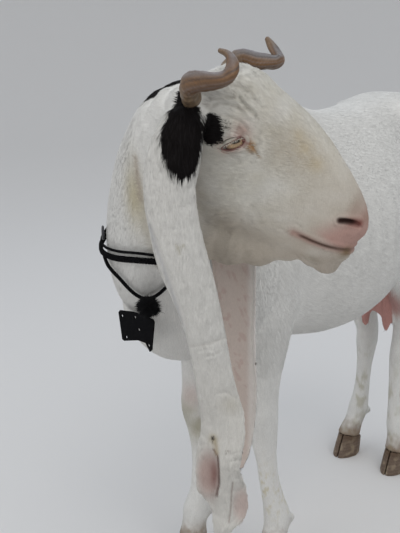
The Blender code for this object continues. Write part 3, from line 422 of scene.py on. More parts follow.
# Reach of the lids round the slit and out from the eye's middle, and the edge over which the pressing fades
LID_REACH, LID_OUT, LID_FADE = 0.022, (0.002, 0.024), (0.0010, 0.0024)

# Distance from the line, width and rise of the lips and of the nostril's rim, and width and depth of the slit
LIP, NOSTRIL_RIM, MOUTH_SLIT = (0.0050, 0.0026, 0.0012), (0.0060, 0.0026, 0.0013), (0.0016, 0.0014)

# Fine wrinkles of bridge and brow: middle and size over ahead and up, where they begin beside the middle,
# way of the rows, their waver with its grain and seed, their distance and their height
BRIDGE = ((0.075, 0.022), (0.055, 0.036), (0.014, 0.028), (0.92, 0.39), (0.0014, 0.022, 12), 0.0038, 0.00034)
BROW = ((-0.020, 0.045), (0.030, 0.018), (0.030, 0.042), (0.90, 0.30), (0.0020, 0.025, 14), 0.0062, 0.00055)

# Where head forms end at the sides and ahead, how far the face slopes back under the nose, and how far the
# chin drops and comes forward
HEAD_WIDE, HEAD_LONG = (0.062, 0.075), (0.23, 0.25)
NOSE_BACK, CHIN_DROP, CHIN_AHEAD = 0.0060, 0.0060, 0.0015
UNDER_NOSE, UNDER_NOSE_AHEAD = (-0.026, 0.015), (0.160, 0.192)
CHIN_AT, CHIN_FROM, CHIN_TO = (0.163, 0.012), (0.060, 0.074), (0.095, 0.115)

# Lid edge seen from outside the eye, in mm along and above the slit's tilt, front corner first
SLIT = [(14.8, -1.6), (13.2, 0.7), (10.2, 1.0), (6.0, 0.3), (0.0, -0.9), (-6.0, -1.9), (-11.0, -3.5),
        (-15.4, -5.2), (-12.5, -7.0), (-8.0, -8.3), (-3.0, -8.6), (3.0, -8.4), (8.0, -7.3), (11.8, -5.4),
        (14.2, -3.4)]


def slit_shape(count, grow=0.0, fine=400):
    """The lid edge as a closed flat outline, or an outline that much further out."""
    rows = np.array(SLIT[-2:] + SLIT + SLIT[:3]) * 0.001
    spans = len(rows) - 1
    line = even(along_rows(rows, fine)[int(fine * 2 / spans):int(fine * (spans - 2) / spans)], 0.0001, True)
    line = line[np.linspace(0, len(line), count, endpoint=False).astype(int)]
    step = np.roll(line, -1, axis=0) - np.roll(line, 1, axis=0)
    for _ in range(2):
        step = step + np.roll(step, 1, axis=0) + np.roll(step, -1, axis=0)
    return line + unit(np.stack([-step[:, 1], step[:, 0]], axis=1)) * -grow


def eye_centre(side):
    """Middle of one eyeball."""
    return in_head(0.0, EYE_UP, side * EYE_OUT)


def slit_line(side, count=64, grow=0.0, lift=0.0):
    """The lid edge of one eye as a closed line just outside the eyeball, or a line that much further out."""
    flat = slit_shape(count, grow)
    r = EYE_R + LID_OVER_EYE + lift
    deep = np.sqrt(np.maximum(r * r - (flat**2).sum(axis=1), 0.0))
    deep = np.maximum(deep, LID_DEPTH + lift)
    return (eye_centre(side) + SLIT_ALONG * flat[:, :1] + SLIT_ABOVE * flat[:, 1:]
            + RIGHT * side * deep[:, None])


def open_lids(p, side):
    """Press the skin inside the lid edge below the surface of the eyeball."""
    rel = p - eye_centre(side)
    x, y, out = rel @ SLIT_ALONG, rel @ SLIT_ABOVE, rel @ RIGHT * side
    near = np.flatnonzero((np.hypot(x, y) < LID_REACH) & (out > LID_OUT[0]) & (out < LID_OUT[1]))
    edge = slit_shape(160)
    flat = np.stack([x[near], y[near]], axis=1)
    gap, _ = segments(flat, np.vstack([edge, edge[:1]]))
    a, b = edge, np.roll(edge, -1, axis=0)
    over = (a[None, :, 1] > flat[:, 1:]) != (b[None, :, 1] > flat[:, 1:])
    cross = (b[:, 0] - a[:, 0]) * (flat[:, 1:] - a[:, 1]) / (b[:, 1] - a[:, 1] + 1e-12) + a[:, 0]
    inside = ((flat[:, :1] < cross) & over).sum(axis=1) % 2 == 1
    share = 1.0 - smoothstep(np.where(inside, -gap, gap), *LID_FADE)
    floor = np.maximum(np.sqrt(np.maximum(PRESSED_R**2 - (flat**2).sum(axis=1), 0.0)), PRESSED_DEPTH)
    move = np.minimum(floor - out[near], 0.0) * share
    p[near] += RIGHT * side * move[:, None]
    return p


def placed(line, side):
    """A head-frame line in model space, on one side."""
    return np.array([in_head(a, u, side * o) for a, u, o in line])


def wrinkles(p, near, patch):
    """The share of a patch of wrinkles at each place, and their even wavering rows."""
    ahead, up, out = head_coords(p)
    middle, reach, beside, way, (size, grain, seed), pitch, _ = patch
    share = oval(ahead, up, middle, reach) * smoothstep(np.abs(out), *beside) * near
    return share, np.sin(2 * math.pi * (way[0] * up - way[1] * ahead + size * wobble(p, grain, seed)) / pitch)


def sculpt_head(p, normal):
    """Lids, lips, nostrils, wrinkles and the bones that show under the face."""
    move = np.zeros(len(p))
    for side in (1, -1):
        gap, along = segments(p, placed(MOUTH, side))
        move += LIP[2] * hump(gap, *LIP[:2]) * smoothstep(along, 0.0, 0.25)
        move -= MOUTH_SLIT[1] * hump(gap, 0.0, MOUTH_SLIT[0])
    for side in (1, -1):
        gap, _ = segments(p, placed(NOSTRIL, side))
        move += NOSTRIL_RIM[2] * hump(gap, *NOSTRIL_RIM[:2])
    for line, width, depth in CREASES:
        for side in (1, -1):
            move += groove(p, placed(line, side), width, depth)
    for side in (1, -1):
        for above, out, radius, rise in EYE_FORMS:
            move += swell(p, eye_centre(side) + SLIT_ABOVE * above + RIGHT * side * out, radius, rise)
        for place, size, rise in CHEEK_FORMS:
            move += swell(p, placed([place], side)[0], size, rise)
    ahead, up, out = head_coords(p)
    near = (1.0 - smoothstep(np.abs(out), *HEAD_WIDE)) * (1.0 - smoothstep(ahead, *HEAD_LONG))
    share, rows = wrinkles(p, near, BRIDGE)
    move += BRIDGE[-1] * share * rows * smoothstep(wobble(p, 0.030, 13), -0.2, 0.5)
    share, rows = wrinkles(p, near, BROW)
    move += BROW[-1] * share * rows
    for side in (1, -1):
        for place, size, rise in SMALL_FORMS:
            move += swell(p, placed([place], side)[0], size, rise)
    p = p + normal * move[:, None]
    slope = hump(up, *UNDER_NOSE) * smoothstep(ahead, *UNDER_NOSE_AHEAD) * near
    p = p - NOSE * (NOSE_BACK * slope)[:, None]
    chin = hump(ahead, *CHIN_AT) * smoothstep(-up, *CHIN_FROM) * (1.0 - smoothstep(-up, *CHIN_TO))
    chin *= near
    p = p - CROWN * (CHIN_DROP * chin)[:, None] + NOSE * (CHIN_AHEAD * chin)[:, None]
    for side in (1, -1):
        p = open_lids(p, side)
    return p


# Lines on the near ear in the photograph, in pixels, with their width in pixels and depth in metres
EAR_EDGE = [(149, 224), (157, 250), (165, 272), (174, 298), (181, 322), (185, 340)]
EAR_FOLD = [(184, 347), (197, 346), (209, 344), (219, 340), (230, 336)]
EAR_LINES = [
    (EAR_EDGE, 3.6, -0.0014),
    ([(154, 222), (162, 248), (170.5, 271), (179.5, 297), (186, 321), (189, 338)], 2.4, 0.0007),
    (EAR_FOLD, 2.3, -0.0004),
    ([(196, 352), (206, 349), (215, 350)], 1.8, -0.0003),
    ([(205, 357), (216, 354), (226, 349)], 1.5, -0.0004),
    ([(230, 455), (237, 452), (245, 452)], 1.3, -0.0006),
    ([(229, 462), (236, 460), (244, 461)], 1.3, -0.0006),
    ([(230, 470), (236, 467), (243, 468)], 1.3, -0.0005),
    ([(214, 394), (226, 392), (238, 400), (246, 416)], 1.8, -0.0005),
    ([(233, 480), (231.5, 492), (231, 505), (229, 520), (228, 530)], 1.5, -0.0013),
    ([(198, 402), (199, 425), (197, 445), (195, 465)], 1.8, 0.0012),
]

# Forms of that ear in the same pixels, middle and half size, and where the strand between them begins and ends
EAR_HOLLOW = (207.0, 474.0), (12.5, 25.0)
EAR_LOBE = (243.0, 505.0), (11.0, 18.0)
EAR_NOTCH = (202.0, 489.0), (7.0, 11.0)
STRAND = (227.0, 9.0)
HOLLOW_ENDS, LOBE_BEGINS = (216.0, 220.5), (230.5, 234.0)
STRAND_BEGINS, TIP_NARROWS, TIP_MIDDLE = (440.0, 458.0), (514.0, 533.0), 213.0

# How far, in metres, hollow and lobe lie back, the strand stands ahead, and the notch and each pixel of the
# tip move in
HOLLOW_BACK, STRAND_AHEAD, LOBE_BACK, NOTCH_IN, TIP_IN = 0.0085, 0.0020, 0.0045, 0.0060, 0.0012 * 0.40


def sculpt_ear(p, normal, mine):
    """Folds, the hollow and the rolled lower edge of the near ear."""
    q = picture(p[mine])
    u, v = q.T
    front = smoothstep(-(normal[mine] @ VIEW_AHEAD), 0.0, 0.3)
    move = np.zeros(len(mine))
    for line, width, depth in EAR_LINES:
        gap, along = segments(q, line)
        fade = smoothstep(along, -0.01, 0.15) * smoothstep(-along, -1.01, -0.85)
        move += depth * fade * hump(gap, 0.0, width)
    hollow = oval(u, v, *EAR_HOLLOW, 1.5) * (1.0 - smoothstep(u, *HOLLOW_ENDS))
    strand = hump(u, *STRAND) * smoothstep(v, *STRAND_BEGINS)
    lobe = oval(u, v, *EAR_LOBE, 1.5) * smoothstep(u, *LOBE_BEGINS)
    back = HOLLOW_BACK * hollow - STRAND_AHEAD * strand + LOBE_BACK * lobe
    shift = -NOTCH_IN * oval(u, v, *EAR_NOTCH)
    shift -= TIP_IN * smoothstep(v, *TIP_NARROWS) * np.maximum(u - TIP_MIDDLE, 0.0)
    p[mine] += normal[mine] * (move * front)[:, None] + VIEW_AHEAD * back[:, None] + VIEW_RIGHT * shift[:, None]
    return p


# Forms of each side of the trunk, in the body frame: middle, size and rise
TRUNK_FORMS = {
    "point of the shoulder": ((0.330, 0.090, 0.600), (0.034, 0.040, 0.040), 0.006),
    "shoulder blade": ((0.245, 0.110, 0.720), (0.030, 0.060, 0.075), 0.004),
    "ahead of the blade": ((0.300, 0.105, 0.690), (0.014, 0.060, 0.060), -0.004),
    "behind the elbow": ((0.180, 0.120, 0.620), (0.022, 0.060, 0.060), -0.004),
    "hip bone": ((-0.215, 0.085, 0.840), (0.050, 0.036, 0.034), 0.003),
    "pin bone": ((-0.385, 0.050, 0.760), (0.036, 0.036, 0.040), 0.003),
    "hollow of the flank": ((-0.165, 0.130, 0.790), (0.050, 0.060, 0.034), -0.010),
    "udder": ((-0.300, 0.050, 0.470), (0.050, 0.040, 0.060), 0.009),
    "belly before the udder": ((-0.100, 0.075, 0.485), (0.060, 0.050, 0.040), -0.006),
    "fold of the stifle": ((-0.225, 0.120, 0.540), (0.034, 0.050, 0.040), 0.005),
}
RIBS = [((0.120 - 0.040 * k, 0.150, 0.640), (0.014, 0.060, 0.085), 0.0009) for k in range(6)]
SPINE = [((0.150 - 0.030 * k, 0.0, 0.872 - 0.0006 * k * k), (0.009, 0.010, 0.030), 0.0012) for k in range(14)]


def sculpt_trunk(p, normal):
    """Shoulder, hip and flank forms, ribs and spine."""
    q = p - SHIFT
    move = np.zeros(len(p))
    for side in (1, -1):
        for (x, y, z), size, rise in [*TRUNK_FORMS.values(), *RIBS]:
            move += swell(q, (x, side * y, z), size, rise)
    for middle, size, rise in SPINE:
        move += swell(q, middle, size, rise)
    return p + normal * move[:, None]


# Markings

WHITE = np.array([0.76, 0.75, 0.72])
CREAM = np.array([0.575, 0.545, 0.470])
FAWN = np.array([0.450, 0.390, 0.328])
BLACK = np.array([0.007, 0.0055, 0.0055])
PINK = np.array([0.44, 0.285, 0.250])
RED_SKIN = np.array([0.30, 0.105, 0.085])
EAR_PINK = np.array([0.53, 0.430, 0.375])
UDDER_PINK = np.array([0.440, 0.200, 0.172])
HOLLOW_PINK = np.array([0.36, 0.225, 0.195])
# Painted shadow in the right part of the near ear's hollow
HOLLOW_SHADOW = HOLLOW_PINK * (0.62, 0.52, 0.52)
# Painted shade in a small hole of the near ear
HOLE_SHADE = np.array([0.02, 0.012, 0.010])
STAIN = np.array([0.45, 0.38, 0.24])
EAR_SHADE = np.array([0.15, 0.165, 0.19])
BROWN = np.array([0.20, 0.12, 0.06])
MUZZLE = np.array([0.300, 0.212, 0.165])
OLIVE = np.array([0.36, 0.33, 0.20])
TEAR = np.array([0.33, 0.17, 0.06])

# Black patches: chains of balls in the body frame before it was centred, x, y, z and radius
NAPE_PATCH = [(0.526, 0.064, 0.884, 0.014), (0.524, 0.084, 0.891, 0.017), (0.522, 0.106, 0.896, 0.016),
              (0.518, 0.122, 0.899, 0.011)]
EAR_PATCH = [(0.556, 0.154, 0.880, 0.012), (0.562, 0.160, 0.868, 0.018), (0.576, 0.171, 0.854, 0.024),
             (0.583, 0.174, 0.837, 0.027), (0.586, 0.178, 0.821, 0.026), (0.585, 0.179, 0.808, 0.020),
             (0.584, 0.178, 0.797, 0.012), (0.586, 0.175, 0.789, 0.006)]
FAR_PATCH = [(0.430, 0.094, 0.872, 0.016), (0.412, 0.084, 0.850, 0.022), (0.406, 0.086, 0.826, 0.018)]

# Spots on the near ear in the photograph's pixels: middle and half size; the dark spot in the hollow is a
# painted shadow in its right part, and the small hole gets painted shade
PINK_HOLLOW = (208.0, 474.0), (11.5, 24.0)
HOLLOW_SHADOW_SPOT = (214.5, 474.0), (4.5, 17.0)
BARE_HOLLOW = (208.0, 474.0), (12.0, 24.0)
PINK_LOBE = (243.0, 505.0), (11.0, 17.0)
PEACH = (231.0, 404.0), (10.0, 9.0)
EAR_HOLE = (213.0, 438.0)
HOLE_RADIUS, HOLE_STAIN = 2.2, 4.5
PINK_ENDS, HOLLOW_SHADOW_ENDS = (218.0, 220.5), (218.0, 220.0)
LOBE_PINK_BEGINS = (231.0, 234.0)
EAR_SHADE_GROWS = (330.0, 440.0)

# Marks on that ear and at the near eye, in the same pixels: line, width, colour and share
# On the ear, the first two lines and those along its edge and fold are painted shade in creases and under the
# rolled rim; the rest are stains and blemishes
EAR_MARKS = [
    ([(213.5, 449), (218, 456), (219, 470), (219, 484), (216.5, 494)], 1.1, (0.10, 0.045, 0.035), 0.9),
    ([(233, 482), (231.5, 494), (231, 508), (229, 522)], 0.9, (0.24, 0.17, 0.15), 0.6),
    (EAR_EDGE, 2.2, (0.42, 0.42, 0.44), 0.5),
    (EAR_FOLD, 1.3, (0.44, 0.40, 0.35), 0.25),
    ([(214, 438), (216, 445), (217, 452)], 2.4, (0.46, 0.37, 0.23), 0.6),
    ([(176, 245), (179, 248), (184, 245)], 1.3, (0.36, 0.32, 0.20), 0.55),
    ([(179, 250), (180, 254)], 1.0, (0.36, 0.32, 0.20), 0.4),
    ([(226, 451), (230, 451)], 0.8, (0.22, 0.16, 0.13), 0.6),
]
EYE_MARKS = [
    ([(237.5, 138.0), (240, 136.8), (243, 138.5), (244, 141.5), (241.5, 144.5)], 1.5,
     (0.13, 0.045, 0.045), 0.85),
    ([(221, 148.9), (226, 150.2), (232, 149.8), (238, 147.2), (241.5, 144.5)], 1.0,
     (0.14, 0.055, 0.050), 0.80),
    ([(244, 141.5), (247, 143.0), (250, 144.0)], 1.2, (0.26, 0.13, 0.11), 0.65),
    ([(236, 139.0), (232, 140.5)], 1.0, (0.24, 0.15, 0.12), 0.5),
    ([(256, 152), (258, 155), (261, 158)], 1.4, (0.32, 0.22, 0.13), 0.45),
]
TEAR_STAIN = (253.0, 147.0), (3.6, 4.6)
EYE_PATCH = (212.3, 129.5), (11.6, 16.2)
EYE_PATCH_LEAN, EYE_PATCH_MIDDLE = 0.10, 129.0
FAR_EAR_RIM = (245.0, 252.0)

# Places on the head, in the head frame, some with their size; both sides alike
CHEEK_SPOTS = [((0.075, 0.042, 0.030), 0.010), ((0.060, 0.050, 0.030), 0.008),
               ((0.097, 0.034, 0.028), 0.009)]
LIP_SPOT = (0.195, -0.037, 0.020), 0.0085
CHIN_SHADE = (0.169, -0.071, 0.020), (0.012, 0.006, 0.012)
EYE_CORNER = (0.004, 0.020, 0.055), 0.0115
FRINGE = (-0.016, 0.014, 0.058), 0.0080
TEAR_LINE = [(0.0175, 0.0125, 0.052), (0.0225, 0.0095, 0.050), (0.0260, 0.0060, 0.048)]
TEAR_CORE = [(0.0160, 0.0125, 0.053), (0.0240, 0.0085, 0.049), (0.0310, 0.0045, 0.0455),
             (0.0360, 0.0020, 0.044)]

# Widths of the lines along the rims of the lids, the tears, the mouth and the nostrils; the dark lines of mouth
# and nostrils are painted shade in the mouth's slit and in the nostril openings
RIM_PINK, RIM_RED, TEAR_WIDE, CORE_WIDE = 0.007, 0.0024, 0.0042, 0.0013
MOUTH_PINK, MOUTH_SHADE = 0.0062, 0.0021
NOSTRIL_RED, NOSTRIL_SHADE, NOSTRIL_SLIM = 0.0054, 0.0042, 0.0012

# Where the colours of face, jaw and muzzle begin and end, in metres ahead of and above or below the point
# between the eyes; the darker fawn under the jaw is partly its own colour and partly painted shade of its
# underside
CHEEK = (0.075, 0.030), (0.050, 0.028)
CREAM_GROWS, FAWN_GROWS = (-0.08, -0.02), (0.060, 0.180)
JAW_DOWN, JAW_BEGINS, JAW_ENDS = (0.050, 0.105), (0.000, 0.060), (0.10, 0.15)
MUZZLE_AHEAD, MUZZLE_UP = (0.150, 0.184), (-0.044, -0.030)
TIP_AHEAD, TIP_UP = (0.156, 0.172), (0.000, 0.012)
LOWER_LIP_AHEAD, LOWER_LIP_DOWN = (0.10, 0.13), (0.036, 0.050)
CHIN_FAWN_AHEAD, CHIN_FAWN_DOWN = (0.155, 0.180), (0.046, 0.060)

# Places on the neck and the legs, in the body frame, with their size; the two on the neck carry painted shade,
# in the neck's hollow and along its fold beside the ear
NECK_HOLLOW_SHADE = (0.545, 0.052, 0.748), (0.024, 0.024, 0.048)
NECK_FOLD_SHADE = [(0.5535, 0.0645, 0.798), (0.5525, 0.0665, 0.772), (0.549, 0.0660, 0.742)], 0.0065
THIGH = (-0.215, 0.058, 0.425), (0.030, 0.026, 0.060)
KNEE = (0.324, -0.054, 0.350), 0.022

# Middle height and half height of stains on the legs, and the heights between which the dirt of the feet ends
OLIVE_BAND, SPLASH_BAND, HOCK_BAND, DIRT_ENDS = (0.290, 0.042), (0.17, 0.05), (0.16, 0.10), (0.050, 0.100)

# Place of the black patch beside the near eye, in the body frame, and how far it can reach
EYE_PATCH_AT = (0.545, 0.180, 0.848)
EYE_PATCH_REACH = 0.036


def wobble(p, size, seed=0):
    """Soft noise between -1 and 1 from a few crossed waves, the same for the same place."""
    rng = np.random.default_rng(seed)
    total = np.zeros(len(p))
    for _ in range(7):
        way = unit(rng.normal(size=3)) / size * rng.uniform(0.6, 2.2)
        total += np.sin(p @ way * 2 * math.pi + rng.uniform(0, 6.28) + 1.3 * np.sin(p @ way[[1, 2, 0]] * 4.0))
    return total / 7 * 1.6


def in_chain(p, chain):
    """Depth inside a chain of balls joined by cones, negative outside."""
    best = np.full(len(p), -9.0)
    rows = np.asarray(chain, float)
    for a, b in zip(rows[:-1], rows[1:]):
        d = b[:3] - a[:3]
        t = np.clip((p - a[:3]) @ d / (d @ d), 0.0, 1.0)
        gap = np.linalg.norm(p - a[:3] - t[:, None] * d, axis=1)
        best = np.maximum(best, a[3] + (b[3] - a[3]) * t - gap)
    return best


def mixed(colour, other, share):
    """Colours blended towards another colour by a share at each point."""
    return colour + (np.asarray(other) - colour) * np.clip(share, 0.0, 1.0)[:, None]


def painted(colour, layers):
    """Colours after one layer over another, each with its colour and its share at each point."""
    for tone, share in layers:
        colour = mixed(colour, tone, share)
    return colour


def plain(colour, count):
    """One colour for each of so many points."""
    return np.repeat(np.asarray(colour, float)[None], count, axis=0)


def ear_marks(p, colour, front):
    """Bare pink hollows, painted shade in hollow, creases and a hole, and small blemishes on the near ear's
    outer side.
    """
    seen = np.flatnonzero(front > 0.02)
    q = picture(p[seen])
    u, v = q.T
    hole = np.hypot(u - EAR_HOLE[0], v - EAR_HOLE[1])
    layers = [
        (HOLLOW_PINK, 0.75 * oval(u, v, *PINK_HOLLOW, 2) * (1.0 - smoothstep(u, *PINK_ENDS))),
        # Painted shadow in the right part of the hollow
        (HOLLOW_SHADOW, 0.85 * oval(u, v, *HOLLOW_SHADOW_SPOT) * (1.0 - smoothstep(u, *HOLLOW_SHADOW_ENDS))),
        (PINK * (1.06, 1.12, 1.14), 0.60 * oval(u, v, *PINK_LOBE, 2) * smoothstep(u, *LOBE_PINK_BEGINS)),
        (CREAM * (0.92, 0.90, 0.86), 0.45 * oval(u, v, *PEACH)),
        *[(dark, amount * stroke(q, line, width)) for line, width, dark, amount in EAR_MARKS],
        (STAIN, 0.6 * hump(hole, 0.0, HOLE_STAIN)),
        # Painted shade in the small hole
        (HOLE_SHADE, hump(hole, 0.0, HOLE_RADIUS, 4))]
    colour[seen] = painted(colour[seen], [(tone, front[seen] * share) for tone, share in layers])
    return colour


def eye_marks(p, colour, share):
    """Dark lid rims and corner, the tear stain and the pink skin at the near eye."""
    q = picture(p)
    layers = [(dark, amount * stroke(q, line, width)) for line, width, dark, amount in EYE_MARKS]
    layers.append((TEAR * (1.02, 1.10, 1.25), 0.80 * oval(*q.T, *TEAR_STAIN, 1.4)))
    return painted(colour, [(tone, share * amount) for tone, amount in layers])


def face_layers(q, head, on_head, fine, broad):
    """Cream and fawn of face and cheek, painted shade in the neck's hollow and fold, and fawn under the jaw,
    partly shade.
    """
    ahead, up, _ = head.T
    cheek = oval(ahead, up, *CHEEK)
    spots = sum(swell(head, middle, radius) for middle, radius in CHEEK_SPOTS)
    # Darker fawn under the jaw: partly its own colour, partly painted shade of its underside
    jaw = smoothstep(-up, *JAW_DOWN) * smoothstep(ahead, *JAW_BEGINS)
    jaw *= 1.0 - smoothstep(ahead, *JAW_ENDS)
    return [
        (CREAM, on_head * smoothstep(ahead, *CREAM_GROWS) * (0.75 + 0.20 * broad)),
        (FAWN, on_head * smoothstep(ahead - 0.3 * up, *FAWN_GROWS) * (0.72 + 0.12 * broad)),
        (FAWN * (0.98, 0.96, 0.86), on_head * cheek * (0.60 + 0.25 * fine)),
        (OLIVE + (0.16, 0.08, 0.03), on_head * spots * 0.40),
        # Painted shade in the hollow of the neck and along its fold beside the near ear
        (OLIVE + (0.14, 0.10, 0.06), swell(q, *NECK_HOLLOW_SHADE) * 0.75),
        (FAWN * (0.90, 0.85, 0.80), 0.70 * stroke(q, *NECK_FOLD_SHADE)),
        (FAWN * (0.95, 0.95, 0.92), on_head * jaw * 0.70)]


def muzzle_layers(head, on_head, broad):
    """Pink of nose and lips, red nostril rims, and painted shade under the chin, in the mouth's slit and the
    nostrils.
    """
    ahead, up, _ = head.T
    nose = smoothstep(ahead - 0.50 * up, *MUZZLE_AHEAD) * smoothstep(up, *MUZZLE_UP)
    tip = smoothstep(ahead + 0.15 * up, *TIP_AHEAD) * smoothstep(up, *TIP_UP)
    under = smoothstep(-up, *LOWER_LIP_DOWN) * smoothstep(ahead, *LOWER_LIP_AHEAD)
    chin = smoothstep(ahead, *CHIN_FAWN_AHEAD) * smoothstep(-up, *CHIN_FAWN_DOWN)
    flatter = np.array([1.0, 1.0, 0.28])
    slot, along = segments(head * flatter, np.array(MOUTH) * flatter)
    # How dark the painted shade in the mouth's slit is along it
    dark = smoothstep(along, 0.02, 0.12) * (1.0 - 0.35 * smoothstep(along, 0.40, 0.80))
    nostril, into = segments(head * flatter, np.array(NOSTRIL) * flatter)
    front = smoothstep(into, 0.55, 1.0)
    # Width of the painted shade in each nostril opening, narrower at its front
    hole = NOSTRIL_SHADE - NOSTRIL_SLIM * front
    layers = [
        (PINK * (0.98, 0.90, 0.88), nose * 0.88),
        (MUZZLE, tip * (0.55 + 0.15 * broad)),
        (PINK * (0.80, 0.74, 0.70), (0.55 + 0.35 * under) * stroke(head, MOUTH, MOUTH_PINK)),
        (BROWN + (0.00, 0.02, 0.01), 0.85 * swell(head, *LIP_SPOT)),
        (OLIVE * (0.55, 0.52, 0.62), 0.55 * swell(head, *CHIN_SHADE)),
        (FAWN * 0.92, chin * 0.6),
        # Painted shade in the mouth's slit
        (RED_SKIN * (0.16, 0.22, 0.18), dark * hump(slot, 0.0, MOUTH_SHADE)),
        (RED_SKIN * (0.75, 0.72, 0.72), 0.9 * hump(nostril, 0.0, NOSTRIL_RED, 3) * smoothstep(into, 0.2, 0.7)),
        # Painted shade in the nostril openings
        (RED_SKIN * (0.09, 0.10, 0.10), hump(nostril, 0.0, hole, 4) * (1.0 - 0.75 * front))]
    return [(tone, on_head * share) for tone, share in layers]


def eye_layers(p, head, on_head, fine):
    """Pink and red lid rims, the brow, the tear line, and painted shade in the creases."""
    layers = []
    for side in (1, -1):
        rim, _ = segments(p, slit_line(side))
        layers += [(PINK * 1.10, 0.50 * hump(rim, 0.0, RIM_PINK)),
                   (RED_SKIN + (0.06, 0.05, 0.05), 0.85 * hump(rim, 0.0, RIM_RED))]
    layers += [(PINK * (0.80, 0.78, 0.74), 0.78 * swell(head, *EYE_CORNER)),
               (TEAR, 0.80 * stroke(head, TEAR_LINE, TEAR_WIDE) * (0.85 + 0.35 * fine)),
               (BROWN * 0.6, 0.65 * stroke(head, TEAR_CORE, CORE_WIDE))]
    # Each crease of the face darkened by its depth: painted shade in the creases
    layers += [(FAWN * 0.62, min(0.55, depth * 260) * stroke(head, line, 0.8 * width))
               for line, width, depth in CREASES]
    return [(tone, on_head * share) for tone, share in layers]


def lower_layers(p, q, on_udder, fine, broad):
    """Pink udder, thigh and knee, the olive stains of the legs and the dirty feet."""
    x, y, z = q.T
    fore = x > 0.1
    groin = np.clip(on_udder + 0.9 * swell(q, *THIGH, power=4), 0.0, 1.0)
    olive = hump(z, *OLIVE_BAND) * (fore & (y < -0.005)) * (0.6 + 0.4 * broad)
    splash = smoothstep(wobble(p, 0.016, 8), 0.15, 0.70) * (fore & (y > 0.0) & (x < 0.36))
    splash = splash * hump(z, *SPLASH_BAND)
    dirty = 1.0 - smoothstep(z + 0.010 * wobble(p, 0.03, 9), *DIRT_ENDS)
    hock = (x < -0.2) * hump(z, *HOCK_BAND) * smoothstep(wobble(p, 0.03, 10), 0.0, 0.6)
    return [
        (UDDER_PINK * (1.0 + 0.08 * fine)[:, None], 0.92 * groin),
        (PINK * 1.15, 0.45 * swell(q, *KNEE)),
        (OLIVE * (0.92, 0.90, 0.95), 0.95 * np.clip(olive, 0.0, 1.0)),
        (OLIVE + (0.18, 0.14, 0.05), 0.6 * splash),
        (BROWN, 0.85 * dirty),
        (OLIVE, 0.5 * hock)]


def black_share(p, q, u, v, on_head):
    """1 in the black patches, with ragged edges and a dotted fringe before the near eye."""
    ragged = 0.0022 * wobble(p, 0.010, 3) + 0.0018 * wobble(p * (1.0, 1.0, 0.35), 0.004, 4)
    depth = np.maximum.reduce([in_chain(q, patch) for patch in (NAPE_PATCH, EAR_PATCH, FAR_PATCH)]) + ragged
    (u0, v0), (wide, high) = EYE_PATCH
    lean = EYE_PATCH_LEAN * (v - EYE_PATCH_MIDDLE)
    patch = np.abs((u - u0 - lean) / wide) ** 2.5 + np.abs((v - v0) / high) ** 2.5
    patch = smoothstep(-patch + 90.0 * ragged, -1.10, -0.92)
    patch *= np.linalg.norm(q - EYE_PATCH_AT, axis=1) < EYE_PATCH_REACH
    fringe = swell(np.stack(head_coords(p), axis=1), *FRINGE, power=4)
    dots = smoothstep(wobble(p, 0.0028, 15), -0.10, 0.35)
    return np.maximum(np.maximum(smoothstep(depth, -0.0012, 0.0014), patch), 0.80 * fringe * dots * on_head)


def markings(p, inside_ear, on_head, on_udder, ear_front):
    """Colour of skin and hair at each place: patches, bare skin, stains, dirt, and painted shade in recesses
    and on an ear.
    """
    q = p - SHIFT
    u, v = picture(p).T
    ahead, up, out = head_coords(p)
    head = np.stack([ahead, up, np.abs(out)], axis=1)
    fine, broad = wobble(p, 0.006, 1), wobble(p, 0.05, 2)
    colour = plain(WHITE, len(p)) * (1.0 + 0.025 * broad + 0.012 * fine)[:, None]
    colour = painted(colour, face_layers(q, head, on_head, fine, broad))
    # Painted shade over the front of the near ear, deeper towards its lower end
    shade = np.clip(ear_front, 0.0, 1.0) * (0.60 + 0.40 * smoothstep(v, *EAR_SHADE_GROWS))
    colour = colour * (1.0 - shade[:, None] * EAR_SHADE)
    colour = painted(colour, muzzle_layers(head, on_head, broad) + eye_layers(p, head, on_head, fine))
    far_rim = smoothstep(u, *FAR_EAR_RIM) * (q[:, 1] > 0.09) * (q[:, 0] < 0.42)
    ear = np.clip(inside_ear, 0.0, 1.0) * (1.0 - 0.6 * far_rim)
    blotch = smoothstep(wobble(p, 0.020, 5), 0.35, 0.75)
    inner = mixed(plain(EAR_PINK, len(p)), PINK * (0.95, 0.86, 0.84), 0.50 * blotch)
    colour = ear_marks(p, mixed(colour, inner, 0.80 * ear), ear_front)
    colour = painted(colour, lower_layers(p, q, on_udder, fine, broad))
    colour = eye_marks(p, colour, on_head * (out > 0))
    return mixed(colour, BLACK, black_share(p, q, u, v, on_head) * (1.0 - 0.8 * ear))


# Parts, lie of the coat, unwrap

PARTS = ["head", "ear_right", "ear_left", "neck", "torso", "tail", "udder", *LEGS]
PART_OF = {name: i for i, name in enumerate(PARTS)}


def part_finder():
    """For each point, the flesh node that it lies nearest to."""
    verts, faces, owner, start = [], [], [], 0
    for name in PARTS:
        mesh = NODES[name].data
        tris = triangles_of(mesh)
        verts.append(points_of(mesh))
        faces.append(tris + start)
        owner += [PART_OF[name]] * len(tris)
        start += len(mesh.vertices)
    verts, faces = np.concatenate(verts).tolist(), np.concatenate(faces).tolist()
    tree = BVHTree.FromPolygons(verts, faces, all_triangles=True)
    owner = np.array(owner)

    def find(points):
        return owner[[tree.find_nearest(p)[2] for p in points.tolist()]]

    return find


def middles(p, weights):
    """Middle of the points under each row of weights."""
    return np.array([(w[:, None] * p).sum(axis=0) / w.sum() for w in weights])


